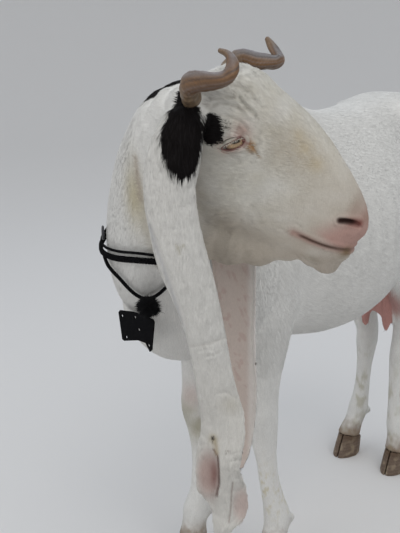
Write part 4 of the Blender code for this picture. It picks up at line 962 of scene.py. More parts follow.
def ear_axis(name):
    """Middle of an ear at each height, from its solid, as a function of z."""
    p = points_of(NODES[name].data)
    levels = np.linspace(p[:, 2].min(), p[:, 2].max(), 60)
    rows = middles(p, [hump(p[:, 2], z, 0.012) for z in levels])
    return lambda z: np.stack([np.interp(z, levels, rows[:, k]) for k in range(2)], axis=1)


EAR_AXES = {side: ear_axis("ear_" + side) for side in ("right", "left")}


def inside_of_ear(p, normal, part):
    """1 on the pink side of an ear, which faces the neck, and 0 on its hairy side and everywhere else."""
    out = np.zeros(len(p))
    for side, way in (("right", VIEW_AHEAD), ("left", -VIEW_AHEAD)):
        mine = part == PART_OF["ear_" + side]
        hang = 1.0 - smoothstep(p[mine, 2], 0.78, 0.84)
        out[mine] = smoothstep(normal[mine] @ way, 0.10, 0.45) * hang
    return out


def lie_of_coat(p, part):
    """Rough direction of the hair at each place, before it is laid along the skin."""
    _, up, _ = head_coords(p)
    q = p - SHIFT
    rear = smoothstep(-q[:, 0], 0.20, 0.36)
    flank = np.stack([-np.ones(len(p)), 0 * rear, -0.35 - 0.9 * rear], axis=1)
    shoulder = smoothstep(q[:, 0], 0.16, 0.34)
    named = {"head": -NOSE * 0.85 - CROWN * (0.35 - 0.65 * smoothstep(up, 0.02, 0.07))[:, None],
             "torso": flank + (np.array([-0.35, 0.0, -1.0]) - flank) * shoulder[:, None],
             "neck": (-0.40, -0.35, -0.85), "tail": (-0.15, 0.0, -1.0), "udder": (-0.2, 0.0, -1.0),
             "ear_right": (0.0, 0.0, -1.0), "ear_left": (0.0, 0.0, -1.0),
             **dict.fromkeys(LEGS, (-0.12, 0.0, -1.0))}
    lie = np.zeros((len(p), 3))
    for name in PARTS:
        mine = part == PART_OF[name]
        lie[mine] = np.broadcast_to(named[name], lie.shape)[mine]
    return unit(lie)


def spread(values, edges, count, rounds):
    """Values at vertices averaged with their neighbours a few times."""
    a, b = edges.T
    degree = np.bincount(a, minlength=count) + np.bincount(b, minlength=count) + 1.0
    values = values.copy()
    for _ in range(rounds):
        for k in range(values.shape[1]):
            v = values[:, k]
            near = np.bincount(a, weights=v[b], minlength=count) + np.bincount(b, weights=v[a], minlength=count)
            values[:, k] = (v + near) / degree
    return values


# Each part is unrolled round its own axis into a cell of the map: corner, width and height; MARGIN is left free
CELLS = {"torso": (0.0, 0.0, 0.5, 0.5), "neck": (0.5, 0.0, 0.25, 0.25), "head": (0.5, 0.25, 0.25, 0.25),
         "ear_right": (0.75, 0.0, 0.25, 0.25), "ear_left": (0.75, 0.25, 0.25, 0.25),
         "tail": (0.0, 0.5, 0.1, 0.2), "udder": (0.1, 0.5, 0.1, 0.2)}
CELLS.update({name: (0.22 + 0.09 * i, 0.5, 0.085, 0.24) for i, name in enumerate(LEGS)})
MARGIN = 0.03


def unrolled(p, part, inside):
    """Place of each point on the unwrap of the skin."""
    uv = np.zeros((len(p), 2))
    q = p - SHIFT
    for name in PARTS:
        mine = part == PART_OF[name]
        if not mine.any():
            continue
        m, n = p[mine], q[mine]
        if name == "head":
            ahead, up, out = head_coords(m)
            turn, reach = np.arctan2(out, up + 0.03), (ahead + 0.13) / 0.36
        elif name.startswith("ear"):
            middle = EAR_AXES[name[4:]](m[:, 2])
            turn = np.arctan2(m[:, 1] - middle[:, 1], m[:, 0] - middle[:, 0]) * 0.5 - 1.57 + 3.14 * inside[mine]
            reach = (m[:, 2] - 0.20) / 0.70
        elif name == "torso":
            turn, reach = np.arctan2(n[:, 1], n[:, 2] - 0.65), (n[:, 0] + 0.44) / 0.88
        elif name == "neck":
            turn, reach = np.arctan2(n[:, 1] + 0.02, n[:, 0] - 0.42), (n[:, 2] - 0.42) / 0.50
        else:
            low, high = m.min(axis=0), m.max(axis=0)
            middle = (low + high) / 2
            turn = np.arctan2(m[:, 1] - middle[1], m[:, 0] - middle[0])
            reach = (m[:, 2] - low[2]) / max(high[2] - low[2], 1e-6)
        u0, v0, w, h = CELLS[name]
        full = 1.0 - 2 * MARGIN
        uv[mine, 0] = u0 + w * (MARGIN + full * np.clip((turn + math.pi) / (2 * math.pi), 0, 1))
        uv[mine, 1] = v0 + h * (MARGIN + full * np.clip(reach, 0, 1))
    return uv


# Materials

# They take their colour from the markings. Columns: roughness, grains per metre, share of the variation,
# strength and depth in metres of the relief, stretch of the grain along the axes, and shine
MATERIALS = {
    "hide": (0.75, 700.0, 0.10, 0.25, 0.0005, (1.0, 1.0, 0.35), 0.12),
    "coat": (0.85, 900.0, 0.10, 0.15, 0.0004, None, 0.08),
    "horn_keratin": (0.38, 420.0, 0.22, 0.25, 0.0003, None, 0.4),
    "eye_wet": (0.06, 900.0, 0.05, 0.0, 0.0001, None, 0.25),
    "lid_skin": (0.38, 900.0, 0.15, 0.2, 0.0003, None, 0.25),
    "hoof_horn": (0.6, 500.0, 0.25, 0.35, 0.0004, None, 0.25),
    "cord_yarn": (0.85, 1400.0, 0.35, 0.5, 0.0004, None, 0.04),
    "wool": (0.9, 900.0, 0.3, 0.3, 0.0004, None, 0.25),
    "plate_black": (0.60, 2200.0, 0.25, 0.35, 0.0002, None, 0.04),
    "ring_metal": (0.35, 1500.0, 0.3, 0.15, 0.0001, None, 0.25),
}


def shader(name, rough):
    """A new material with its Principled node, its nodes and a function that links two sockets."""
    mat = bpy.data.materials.new(name)
    mat.use_nodes = True
    tree = mat.node_tree
    main = tree.nodes["Principled BSDF"]
    main.inputs["Roughness"].default_value = rough
    return mat, main, tree.nodes, tree.links.new


def node(nodes, kind, **values):
    """A node with its settings, and its sockets set by name."""
    made = nodes.new("ShaderNode" + kind)
    for key, value in values.items():
        if hasattr(made, key):
            setattr(made, key, value)
        else:
            made.inputs[key].default_value = value
    return made


def tinted(name):
    """A material that takes its colour from the markings and adds fine variation and relief."""
    rough, grain, share, relief, depth, stretch, shine = MATERIALS[name]
    mat, main, nodes, link = shader(name, rough)
    main.inputs["Specular IOR Level"].default_value = shine
    spot = node(nodes, "TexCoord").outputs["Object"]
    if stretch:
        shape = node(nodes, "Mapping", Scale=stretch)
        link(spot, shape.inputs["Vector"])
        spot = shape.outputs["Vector"]
    fine = node(nodes, "TexNoise", Scale=grain, Detail=5.0, Roughness=0.6)
    link(spot, fine.inputs["Vector"])
    tone = node(nodes, "ValToRGB")
    for element, at, level in zip(tone.color_ramp.elements, (0.25, 0.75), (1 - share, 1 + share * 0.5)):
        element.position = at
        element.color = (level, level, level, 1.0)
    link(fine.outputs["Fac"], tone.inputs["Fac"])
    blend = node(nodes, "Mix", data_type="RGBA", blend_type="MULTIPLY", Factor=1.0)
    link(node(nodes, "Attribute", attribute_name="tint").outputs["Color"], blend.inputs[6])
    link(tone.outputs["Color"], blend.inputs[7])
    link(blend.outputs[2], main.inputs["Base Color"])
    bump = node(nodes, "Bump", Strength=relief, Distance=depth)
    link(fine.outputs["Fac"], bump.inputs["Height"])
    link(bump.outputs["Normal"], main.inputs["Normal"])
    return mat


def add_tint(mesh, colours):
    """Store the marking colour of each vertex."""
    layer = mesh.color_attributes.new("tint", "FLOAT_COLOR", "POINT")
    full = np.ones((len(colours), 4), np.float32)
    full[:, :3] = colours
    layer.data.foreach_set("color", full.ravel())


def finished(ob, mat, slot, *nodes):
    """Dress a piece, let it ride on the body, and let it stand for its CAD nodes."""
    ob.data.materials.clear()
    ob.data.materials.append(mat)
    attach(ob, "root")
    if nodes:
        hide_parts(*nodes)
    return ob


# Coat

def scatter(p, tris, density, rng):
    """Evenly strewn places on a surface: their triangle and their weights of its corners."""
    area = np.linalg.norm(np.cross(p[tris[:, 1]] - p[tris[:, 0]], p[tris[:, 2]] - p[tris[:, 0]]), axis=1) / 2
    count = np.floor(area * density + rng.random(len(tris))).astype(int)
    face = np.repeat(np.arange(len(tris)), count)
    a, b = rng.random((2, len(face)))
    over = a + b > 1
    a[over], b[over] = 1 - a[over], 1 - b[over]
    return face, np.stack([1 - a - b, a, b], axis=1)


# How deep a tuft's root sits, its thickness as a share of its half width, the tilt of its shading to the
# sides, and the places of its corners on the unwrap: half width, edge, ridge and tip, and drop along its length
ROOT_DEPTH, THICK, TILT = 0.0004, 0.7, 0.09
UV_HALF, UV_EDGE, UV_RIDGE, UV_TIP, UV_DROP = 0.0015, 0.0012, 0.0015, -0.0015, 0.002


def hair_mesh(name, root, normal, lie, length, width, lift, colour, uv, bends=0, curl=0.0):
    """Thin closed tufts on the skin. With bends, each is a longer lock that droops towards its tip."""
    n = len(root)
    t = unit(lie - normal * (lie * normal).sum(axis=1, keepdims=True))
    s = np.cross(normal, t)
    rows = bends + 1
    verts, shade, tone, spots = [], [], [], []
    for k in range(rows):
        f = k / rows
        slim = (1.0 - f) ** 0.7
        rise = np.sin(lift) * length * (f - 0.5 * curl * f * f)
        centre = root + t * (np.cos(lift) * length * f)[:, None] + normal * (rise - ROOT_DEPTH)[:, None]
        half = (width * slim / 2)[:, None]
        verts += [centre + s * half, centre - s * half, centre + normal * half * THICK]
        shade += [normal * 0.98 + s * TILT, normal * 0.98 - s * TILT, normal]
        edge, ridge = UV_EDGE - UV_DROP * f, UV_RIDGE - UV_DROP * f
        spots += [(-UV_HALF, edge), (UV_HALF, edge), (0.0, ridge)]
        # Each tuft is darker towards its root: painted shade deep in the coat
        tone += [0.92 + 0.08 * f] * 3
    rise = np.sin(lift) * length * (1 - 0.5 * curl)
    verts.append(root + t * (np.cos(lift) * length)[:, None] + normal * rise[:, None])
    shade.append(normal)
    spots.append((0.0, UV_TIP))
    tone.append(1.0)
    per = len(verts)
    faces = [(0, 1, 2)]
    for k in range(rows - 1):
        a, b = 3 * k, 3 * k + 3
        for i, j in ((0, 2), (2, 1), (1, 0)):
            faces += [(a + i, a + j, b + j), (a + i, b + j, b + i)]
    a = 3 * (rows - 1)
    faces += [(a, a + 2, a + 3), (a + 1, a + 3, a + 2), (a, a + 3, a + 1)]
    faces = (np.array(faces)[None] + (np.arange(n) * per)[:, None, None]).reshape(-1, 3)
    ob = add_mesh(name, np.stack(verts, axis=1).reshape(-1, 3), faces)
    colours = colour[:, None, :] * np.array(tone)[None, :, None]
    add_tint(ob.data, colours.reshape(-1, 3))
    spot = (uv[:, None, :] + np.array(spots)[None]).reshape(-1, 2)
    layer = ob.data.uv_layers.new(name="OFBake")
    layer.data.foreach_set("uv", spot[faces.ravel()].astype(np.float32).ravel())
    ob.data.normals_split_custom_set_from_vertices(unit(np.stack(shade, axis=1).reshape(-1, 3)).tolist())
    return ob


class Skin:
    """The finished skin's arrays, from which every tuft takes its place, colour and direction."""

    def __init__(self, ob):
        self.p = points_of(ob.data)
        self.normal = normals_of(ob.data)
        self.tris = triangles_of(ob.data)
        self.part = part_finder()(self.p)
        self.inside = inside_of_ear(self.p, self.normal, self.part)
        self.edges = edges_of(ob.data)
        self.lie = unit(spread(lie_of_coat(self.p, self.part), self.edges, len(self.p), 8))
        front = (self.part == PART_OF["ear_right"]) * smoothstep(-(self.normal @ VIEW_AHEAD), 0.0, 0.2)
        shares = [self.part == PART_OF["head"], self.part == PART_OF["udder"], front]
        head, udder, front = spread(np.stack(shares, axis=1).astype(float), self.edges, len(self.p), 3).T
        self.colour = markings(self.p, self.inside, head, smoothstep(udder, 0.25, 0.7), front)
        self.uv = unrolled(self.p, self.part, self.inside)
        self.face_part = self.part[self.tris[:, 0]]
        self.middle = self.p[self.tris].mean(axis=1)

    def strewn(self, density, rng):
        """Roots on the skin with their normal, direction, colour and place on the unwrap."""
        face, share = scatter(self.p, self.tris, density, rng)
        corners = self.tris[face]
        mix = share[:, :, None]
        first = corners[:, 0]
        return ((self.p[corners] * mix).sum(axis=1), unit((self.normal[corners] * mix).sum(axis=1)),
                unit((self.lie[corners] * mix).sum(axis=1)), (self.colour[corners] * mix).sum(axis=1),
                self.uv[first], self.part[first], self.inside[first])


def finished_skin():
    """Mesh, relax, sculpt and thin out the one skin."""
    ob = whole_skin()
    p = points_of(ob.data)
    q = p - SHIFT
    far = np.maximum(smoothstep(-q[:, 1], *FAR_SIDE), smoothstep(-q[:, 0], *REAR_SIDE))
    keep = np.ones(len(p))
    for side in (1, -1):
        gap = np.linalg.norm(p - eye_centre(side), axis=1)
        keep *= FINE_SHARE + (1.0 - FINE_SHARE) * smoothstep(gap, *EYE_FINE)
        for line in (MOUTH, NOSTRIL):
            one = placed(line, side)
            near = np.flatnonzero(np.linalg.norm(p - one.mean(axis=0), axis=1) < MOUTH_REACH)
            gap, _ = segments(p[near], one)
            keep[near] *= FINE_SHARE + (1.0 - FINE_SHARE) * smoothstep(gap, *MOUTH_FINE)
    smoothed(ob, 10, keep)
    group = ob.vertex_groups.new(name="thin")
    group.add(np.flatnonzero(far > 0.5).tolist(), 1.0, "REPLACE")
    with_modifier(ob, "DECIMATE", ratio=THIN, vertex_group="thin", vertex_group_factor=100.0)
    ob.vertex_groups.clear()
    smoothed(ob, 2, 1.0 - np.exp(-(down_neck(points_of(ob.data)) / 0.5) ** 2))
    p = points_of(ob.data)
    move_points(ob.data, p - normals_of(ob.data) * coat_depth(p)[:, None])
    for sculpt in (sculpt_trunk, sculpt_head):
        move_points(ob.data, sculpt(points_of(ob.data), normals_of(ob.data)))
    p = points_of(ob.data)
    low, high = [np.array(c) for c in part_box("ear_right")]
    mine = np.flatnonzero(np.all((p > low - 0.01) & (p < high + 0.01), axis=1) & (p[:, 2] < 0.76))
    mine = mine[part_finder()(p[mine]) == PART_OF["ear_right"]]
    move_points(ob.data, sculpt_ear(p, normals_of(ob.data), mine))
    ob.data.polygons.foreach_set("use_smooth", np.ones(len(ob.data.polygons), bool))
    return ob


# Distance between tufts by part, in metres, with that on the bare side of the ears
SPACING = {"head": 0.0018, "neck": 0.0029, "ear_right": 0.0021, "ear_left": 0.0021, "torso": 0.0030,
           "tail": 0.0030, "udder": 0.0075, **dict.fromkeys(LEGS, 0.0027)}
BARE_SPACING = 0.0042

# Pieces of the coat and their parts; the torso is cut across into three more at these shares of its tufts
COAT_PIECES = {"coat_head": ["head"], "coat_ear_right": ["ear_right"], "coat_ear_left": ["ear_left"],
               "coat_neck": ["neck"], "coat_tail": ["tail", "udder"],
               "coat_fore": LEGS[:4], "coat_hind": LEGS[4:]}
TORSO_CUTS = (0.34, 0.67)

# Bare margins round the lid edge, the mouth and the nostril, and the height of the hoof's upper edge
LID_MARGIN, MOUTH_MARGIN, NOSTRIL_MARGIN = 0.0035, 0.0030, 0.0060
HOOF_TOP = 0.050


def lengths(skin_part, p, inside):
    """Length and width of a tuft and its rise from the skin in radians, by place."""
    z = (p - SHIFT)[:, 2]
    length, width, lift = [np.full(len(p), value) for value in (0.0120, 0.0021, 3.0)]
    ahead, up, _ = head_coords(p)
    head, neck, torso, tail = [skin_part == PART_OF[name] for name in ("head", "neck", "torso", "tail")]
    ear = (skin_part == PART_OF["ear_right"]) | (skin_part == PART_OF["ear_left"])
    leg = np.isin(skin_part, [PART_OF[n] for n in LEGS])
    muzzle = smoothstep(ahead, 0.02, 0.15)
    for mine, *values in (
            (head, 0.0066 - 0.0032 * muzzle, 0.0012 - 0.0004 * muzzle, 3.5),
            (head & (ahead < -0.04) & (up > 0.03), 0.0120, None, 9.0),
            (ear, 0.0062, 0.0013, 3.5),
            (ear & (inside > 0.5), 0.0045, None, None),
            (ear & (in_chain(p - SHIFT, EAR_PATCH) > -0.006), 0.0105, None, None),
            (leg, 0.0090 - 0.0030 * smoothstep(-z, -0.42, -0.20), 0.0016, None),
            (leg & (z < 0.07), 0.0050, None, None),
            (torso & (z < 0.50), 0.0140, None, None),
            (neck & (z > 0.80), 0.0150, None, None),
            (tail, 0.016 + 0.018 * smoothstep(-z, -0.80, -0.70), 0.0024, 8.0)):
        for target, value in zip((length, width, lift), values):
            if value is not None:
                target[mine] = np.broadcast_to(value, len(p))[mine]
    return length, width, np.radians(lift)


def tuft_density(skin):
    """Tufts per square metre on each triangle of the skin."""
    part, mid = skin.face_part, skin.middle
    ahead, up, out = head_coords(mid)
    spacing = np.array([SPACING[name] for name in PARTS])[part]
    spacing[skin.inside[skin.tris[:, 0]] > 0.5] = BARE_SPACING
    density = 1.0 / spacing**2
    head = part == PART_OF["head"]
    local = np.stack([ahead, up, np.abs(out)], axis=1)
    eye_gap = np.minimum(*[segments(mid, slit_line(side))[0] for side in (1, -1)])
    density[head & (eye_gap < LID_MARGIN)] = 0.0
    density[head & (segments(local, MOUTH)[0] < MOUTH_MARGIN)] = 0.0
    density[head & (segments(local, NOSTRIL)[0] < NOSTRIL_MARGIN)] = 0.0
    density[head & (ahead > 0.165) & (up > -0.035)] *= 0.25
    ear = part == PART_OF["ear_right"]
    density[ear] *= 1.0 - 0.8 * oval(*picture(mid[ear]).T, *BARE_HOLLOW, 2)
    density[mid[:, 2] < HOOF_TOP] = 0.0
    return density


def dress(skin):
    """The short coat over the whole animal, in pieces by region."""
    rng = np.random.default_rng(11)
    root, normal, lie, colour, uv, owner, inside = skin.strewn(tuft_density(skin), rng)
    length, width, lift = lengths(owner, root, inside)
    n = len(root)
    length = length * rng.uniform(0.75, 1.25, n)
    width = width * rng.uniform(0.8, 1.2, n)
    lift = lift * rng.uniform(0.6, 1.5, n)
    lie = unit(lie + rng.normal(size=(n, 3)) * 0.07)
    colour = colour * rng.uniform(0.965, 1.035, n)[:, None]
    mat = tinted("coat")
    pieces = [(name, np.isin(owner, [PART_OF[m] for m in members])) for name, members in COAT_PIECES.items()]
    torso = owner == PART_OF["torso"]
    marks = [-9.0, *np.quantile(root[torso, 0], TORSO_CUTS), 9.0]
    for name, low, high in zip(("coat_rear", "coat_middle", "coat_front"), marks[:-1], marks[1:]):
        pieces.append((name, torso & (root[:, 0] >= low) & (root[:, 0] < high)))
    for name, mine in pieces:
        tufts = [values[mine] for values in (root, normal, lie, length, width, lift, colour, uv)]
        finished(hair_mesh(name, *tufts), mat, "coat")
    lashes(mat, rng)


def lashes(mat, rng, count=84):
    """Pale lashes along both upper lids."""
    for side, word in ((1, "right"), (-1, "left")):
        root = slit_line(side, 96, 0.0008, 0.0008)[4:4 + count // 2]
        root = np.repeat(root, 2, axis=0) + rng.normal(size=(count, 3)) * 0.0003
        normal = plain(unit(RIGHT * side + SLIT_ABOVE * 0.5), count)
        lie = unit(SLIT_ALONG * 0.25 - SLIT_ABOVE * 0.9 + rng.normal(size=(count, 3)) * 0.15)
        colour = plain(WHITE * (0.95, 0.90, 0.82), count)
        uv = np.stack([rng.uniform(0.80, 0.90, count), np.full(count, 0.90 if side > 0 else 0.95)], axis=1)
        length, width = rng.uniform(0.005, 0.008, count), np.full(count, 0.0003)
        lift = np.radians(rng.uniform(34, 55, count))
        ob = hair_mesh("lashes_" + word, root, normal, lie, length, width, lift, colour, uv, bends=1, curl=0.3)
        finished(ob, mat, "coat")


# Small parts

def along_rows(rows, count):
    """Smooth rows through the given rows, evenly by row number."""
    rows = np.asarray(rows, float)
    full = np.vstack([2 * rows[0] - rows[1], rows, 2 * rows[-1] - rows[-2]])
    t = np.linspace(0.0, len(rows) - 1, count)
    i = np.minimum(t.astype(int), len(rows) - 2)
    f = (t - i)[:, None]
    a, b, c, d = full[i], full[i + 1], full[i + 2], full[i + 3]
    return 0.5 * (2 * b + (c - a) * f + (2 * a - 5 * b + 4 * c - d) * f**2 + (3 * b - 3 * c + d - a) * f**3)


def grid_faces(rows, columns, closed_rows=False):
    """Quads of a sheet of rows of points that is closed round each row."""
    i = np.arange(rows if closed_rows else rows - 1)[:, None]
    j = np.arange(columns)[None]
    k = (i + 1) % rows
    n = (j + 1) % columns
    return np.stack(np.broadcast_arrays(i * columns + j, i * columns + n, k * columns + n, k * columns + j),
                    axis=-1).reshape(-1, 4)


def frames(line, closed):
    """Direction, side and upward vectors along a line of points, turning as little as possible."""
    if closed:
        ahead = unit(np.roll(line, -1, axis=0) - np.roll(line, 1, axis=0))
    else:
        ahead = unit(np.gradient(line, axis=0))
    side = np.zeros_like(line)
    v = np.cross(ahead[0], (0.0, 0.0, 1.0))
    for i, t in enumerate(ahead):
        v = v - t * v.dot(t)
        v /= np.linalg.norm(v)
        side[i] = v
    if closed:
        last = side[-1] - ahead[0] * side[-1].dot(ahead[0])
        slip = math.atan2(np.cross(last, side[0]).dot(ahead[0]), last.dot(side[0]))
        a = (slip * np.arange(len(line)) / len(line))[:, None]
        side = side * np.cos(a) + np.cross(ahead, side) * np.sin(a)
    return ahead, side, np.cross(ahead, side)


def tube(line, radius, around, closed):
    """Points and quads of a tube along a line; an open one comes to a point at both ends."""
    _, side, up = frames(line, closed)
    r = np.broadcast_to(np.asarray(radius, float), (len(line),)).copy()
    if not closed:
        r[[0, -1]] *= 0.05
    a = np.arange(around) * 2 * math.pi / around
    ring = side[:, None] * np.cos(a)[None, :, None] + up[:, None] * np.sin(a)[None, :, None]
    verts = line[:, None] + ring * r[:, None, None]
    return verts.reshape(-1, 3), grid_faces(len(line), around, closed)


def joined(pieces):
    """Several sets of points and faces as one."""
    start = np.cumsum([0] + [len(v) for v, _ in pieces])
    return np.concatenate([v for v, _ in pieces]), np.concatenate([f + s for (_, f), s in zip(pieces, start)])


def even(line, step, closed):
    """Points of a line at equal distances."""
    if closed:
        line = np.vstack([line, line[:1]])
    run = np.concatenate([[0.0], np.cumsum(np.linalg.norm(np.diff(line, axis=0), axis=1))])
    at = np.linspace(0.0, run[-1], max(4, int(run[-1] / step)), endpoint=not closed)
    return np.stack([np.interp(at, run, line[:, k]) for k in range(line.shape[1])], axis=1)


def loop_of(name, bins):
    """Centre line of a closed cord, from its solid."""
    p = points_of(NODES[name].data)
    middle = p.mean(axis=0)
    axes = np.linalg.svd(p - middle, full_matrices=False)[2]
    flat = (p - middle) @ axes.T
    turn = np.arctan2(flat[:, 1], flat[:, 0])
    levels = np.linspace(-math.pi, math.pi, bins, endpoint=False)
    return middles(p, [hump(np.mod(turn - a + math.pi, 2 * math.pi), math.pi, 0.09) for a in levels])


def strands(line, pitch, closed, count=3):
    """Angle of each strand along a line, for so many strands wound round it."""
    run = np.concatenate([[0.0], np.cumsum(np.linalg.norm(np.diff(line, axis=0), axis=1))])
    whole = run[-1] + (np.linalg.norm(line[0] - line[-1]) if closed else 0.0)
    a = run / whole * max(1, round(whole / pitch)) * 2 * math.pi
    return [(a + 2 * math.pi * k / count)[:, None] for k in range(count)]


def twisted(line, radius, pitch, closed, around=8):
    """A laid cord: strands wound round a line."""
    _, side, up = frames(line, closed)
    paths = [line + (side * np.cos(b) + up * np.sin(b)) * radius * 0.50 for b in strands(line, pitch, closed)]
    return joined([tube(path, radius * 0.56, around, closed) for path in paths])


def braided(line, wide, thick, pitch, closed, around=8):
    """A flat braid of three strands along a line."""
    ahead, _, _ = frames(line, closed)
    up = unit(np.array([0.0, 0.0, 1.0]) - ahead * ahead[:, 2:3])
    side = np.cross(ahead, up)
    paths = [line + up * np.sin(b) * (wide - thick) * 0.62 + side * np.sin(2 * b) * thick * 0.42
             for b in strands(line, pitch, closed)]
    return joined([tube(path, thick * 0.62, around, closed) for path in paths])


# Horn stations in the head frame: ahead, up, out, half width, half thickness, twist in degrees
HORN_RIGHT = [
    (-0.068, 0.000, 0.026, 0.0150, 0.0120, 0), (-0.069, 0.010, 0.048, 0.0148, 0.0120, 10),
    (-0.074, 0.021, 0.066, 0.0135, 0.0112, 30), (-0.077, 0.032, 0.078, 0.0128, 0.0108, 55),
    (-0.071, 0.042, 0.084, 0.0128, 0.0106, 80), (-0.060, 0.051, 0.084, 0.0126, 0.0104, 110),
    (-0.050, 0.059, 0.084, 0.0122, 0.0098, 140), (-0.043, 0.068, 0.083, 0.0114, 0.0090, 175),
    (-0.042, 0.076, 0.081, 0.0092, 0.0076, 210), (-0.046, 0.083, 0.076, 0.0074, 0.0062, 245),
    (-0.053, 0.087, 0.071, 0.0060, 0.0052, 280), (-0.061, 0.087, 0.067, 0.0048, 0.0042, 310),
    (-0.071, 0.084, 0.064, 0.0028, 0.0026, 340),
]
HORN_LEFT = [
    (-0.068, 0.000, 0.026, 0.0150, 0.0120, 0), (-0.070, 0.022, 0.034, 0.0145, 0.0118, 10),
    (-0.074, 0.048, 0.042, 0.0125, 0.0108, 30), (-0.071, 0.061, 0.051, 0.0118, 0.0104, 60),
    (-0.055, 0.067, 0.060, 0.0126, 0.0104, 95), (-0.043, 0.073, 0.069, 0.0122, 0.0100, 130),
    (-0.034, 0.077, 0.076, 0.0114, 0.0092, 170), (-0.032, 0.082, 0.082, 0.0098, 0.0078, 210),
    (-0.041, 0.086, 0.087, 0.0078, 0.0064, 250), (-0.052, 0.089, 0.091, 0.0060, 0.0050, 290),
    (-0.064, 0.093, 0.093, 0.0030, 0.0028, 330),
]
# Horn colours: tan and brown; a grey for pale streaks and painted sheen on top; a dark for streaks, specks and
# painted shade below
HORN_TAN = np.array([0.215, 0.150, 0.092])
HORN_BROWN = np.array([0.190, 0.100, 0.046])
HORN_GREY_STREAK_AND_SHEEN = np.array([0.165, 0.150, 0.150])
HORN_DARK_MARK_AND_SHADE = np.array([0.060, 0.042, 0.036])


def horn(side, mat):
    """One horn with keel, growth ridges and streaks, painted sheen on top and painted shade below and between
    ridges.
    """
    rings, around = 170, 44
    line = along_rows(HORN_RIGHT if side > 0 else HORN_LEFT, rings)
    centre = placed(line[:, :3], side)
    ahead = unit(np.gradient(centre, axis=0))
    normal = np.cross(ahead[0], NOSE)
    rng = np.random.default_rng(21 + side)
    f = np.linspace(0.0, 1.0, rings)
    steps = np.cumsum(rng.uniform(0.6, 1.4, 60))
    steps = steps / steps[-1]
    ridge = np.interp(f, steps, np.tile([0.0, 1.0, 0.35], 20)[:60]) - 0.45
    ridge *= 0.050 * (1.0 - smoothstep(f, 0.20, 0.45)) + 0.016
    verts, tint = [], []
    a = np.arange(around) * 2 * math.pi / around
    for i, (c, t, row) in enumerate(zip(centre, ahead, line)):
        normal = unit(normal - t * normal.dot(t))
        other = np.cross(t, normal)
        twist = math.radians(row[5]) * side
        a_axis = normal * math.cos(twist) + other * math.sin(twist)
        b_axis = other * math.cos(twist) - normal * math.sin(twist)
        wave = ridge[i] * (1.0 + 0.4 * np.sin(2 * a + 9 * f[i]))
        wave = wave + 0.010 * np.sin(9 * a + 1.5 * np.sin(6 * f[i]))
        keel = 1.0 + 0.10 * np.maximum(np.cos(a), 0.0) ** 6 - 0.05 * hump(a, 1.2, 0.16)
        size = (keel + wave)[:, None]
        verts.append(c + (a_axis * row[3] * np.cos(a)[:, None] + b_axis * row[4] * np.sin(a)[:, None]) * size)
        top = unit(a_axis * np.cos(a)[:, None] + b_axis * np.sin(a)[:, None])[:, 2]
        level = np.degrees(np.arcsin(np.clip(top, -1.0, 1.0))) + 7.0 * np.sin(7 * f[i] + side)
        streak = 0.5 + 0.5 * np.sin(level / 6.5 + side) * np.sin(level / 11.0 + 1.0)
        speck = 0.5 + 0.5 * np.sin(7 * a + 50 * f[i]) * np.sin(3 * a - 31 * f[i])
        middle = smoothstep(np.full(around, f[i]), 0.18, 0.34)
        tone = painted(plain(HORN_TAN, around), [
            (HORN_BROWN, middle),
            # Painted sheen: greyer where the horn faces up
            (HORN_GREY_STREAK_AND_SHEEN, (0.70 if side > 0 else 0.95) * middle * smoothstep(top, 0.15, 0.60)),
            (HORN_DARK_MARK_AND_SHADE, middle * 0.70 * smoothstep(streak, 0.66, 0.92)),
            (HORN_GREY_STREAK_AND_SHEEN * 1.45, middle * 0.45 * smoothstep(-streak, -0.32, -0.12)),
            # Painted shade: darker where the horn faces down
            (HORN_DARK_MARK_AND_SHADE * 1.4, middle * 0.50 * smoothstep(-top, 0.20, 0.75)),
            (HORN_TAN, np.full(around, 0.60 * smoothstep(f[i], 0.80, 0.95))),
            (HORN_DARK_MARK_AND_SHADE * 1.3, (1.0 - middle) * 0.45 * speck)])
        # Lighter on the crests of the growth ridges and darker between them: painted shade of the ridges
        tint.append(tone * (1.0 + 2.2 * ridge[i]))
    verts = np.concatenate(verts)
    tip = len(verts)
    verts = np.vstack([verts, centre[-1] + ahead[-1] * 0.002, centre[0]])
    faces = grid_faces(rings, around)
    j = np.arange(around)
    n = (j + 1) % around
    last = (rings - 1) * around
    tris = np.concatenate([faces[:, [0, 1, 2]], faces[:, [0, 2, 3]],
                           np.stack([last + j, last + n, np.full(around, tip)], axis=1),
                           np.stack([n, j, np.full(around, tip + 1)], axis=1)])
    name = "horn_right" if side > 0 else "horn_left"
    ob = add_mesh(name + "_fine", verts, tris[:, ::side])
    add_tint(ob.data, np.vstack([np.concatenate(tint), HORN_TAN * 1.1, HORN_TAN]))
    finished(ob, mat, "horn", name)


# Colours of the eye, and distances from the middle of its front: half length and height of the pupil,
# edge of the iris, and reach and height of the clear raised front
IRIS = np.array([0.44, 0.31, 0.19])
EYE_WHITE = np.array([0.36, 0.235, 0.165])
PUPIL = (0.0052, 0.0022)
IRIS_EDGE = (0.0105, 0.0135)
FRONT_REACH, FRONT_RISE = 0.0085, 0.0006


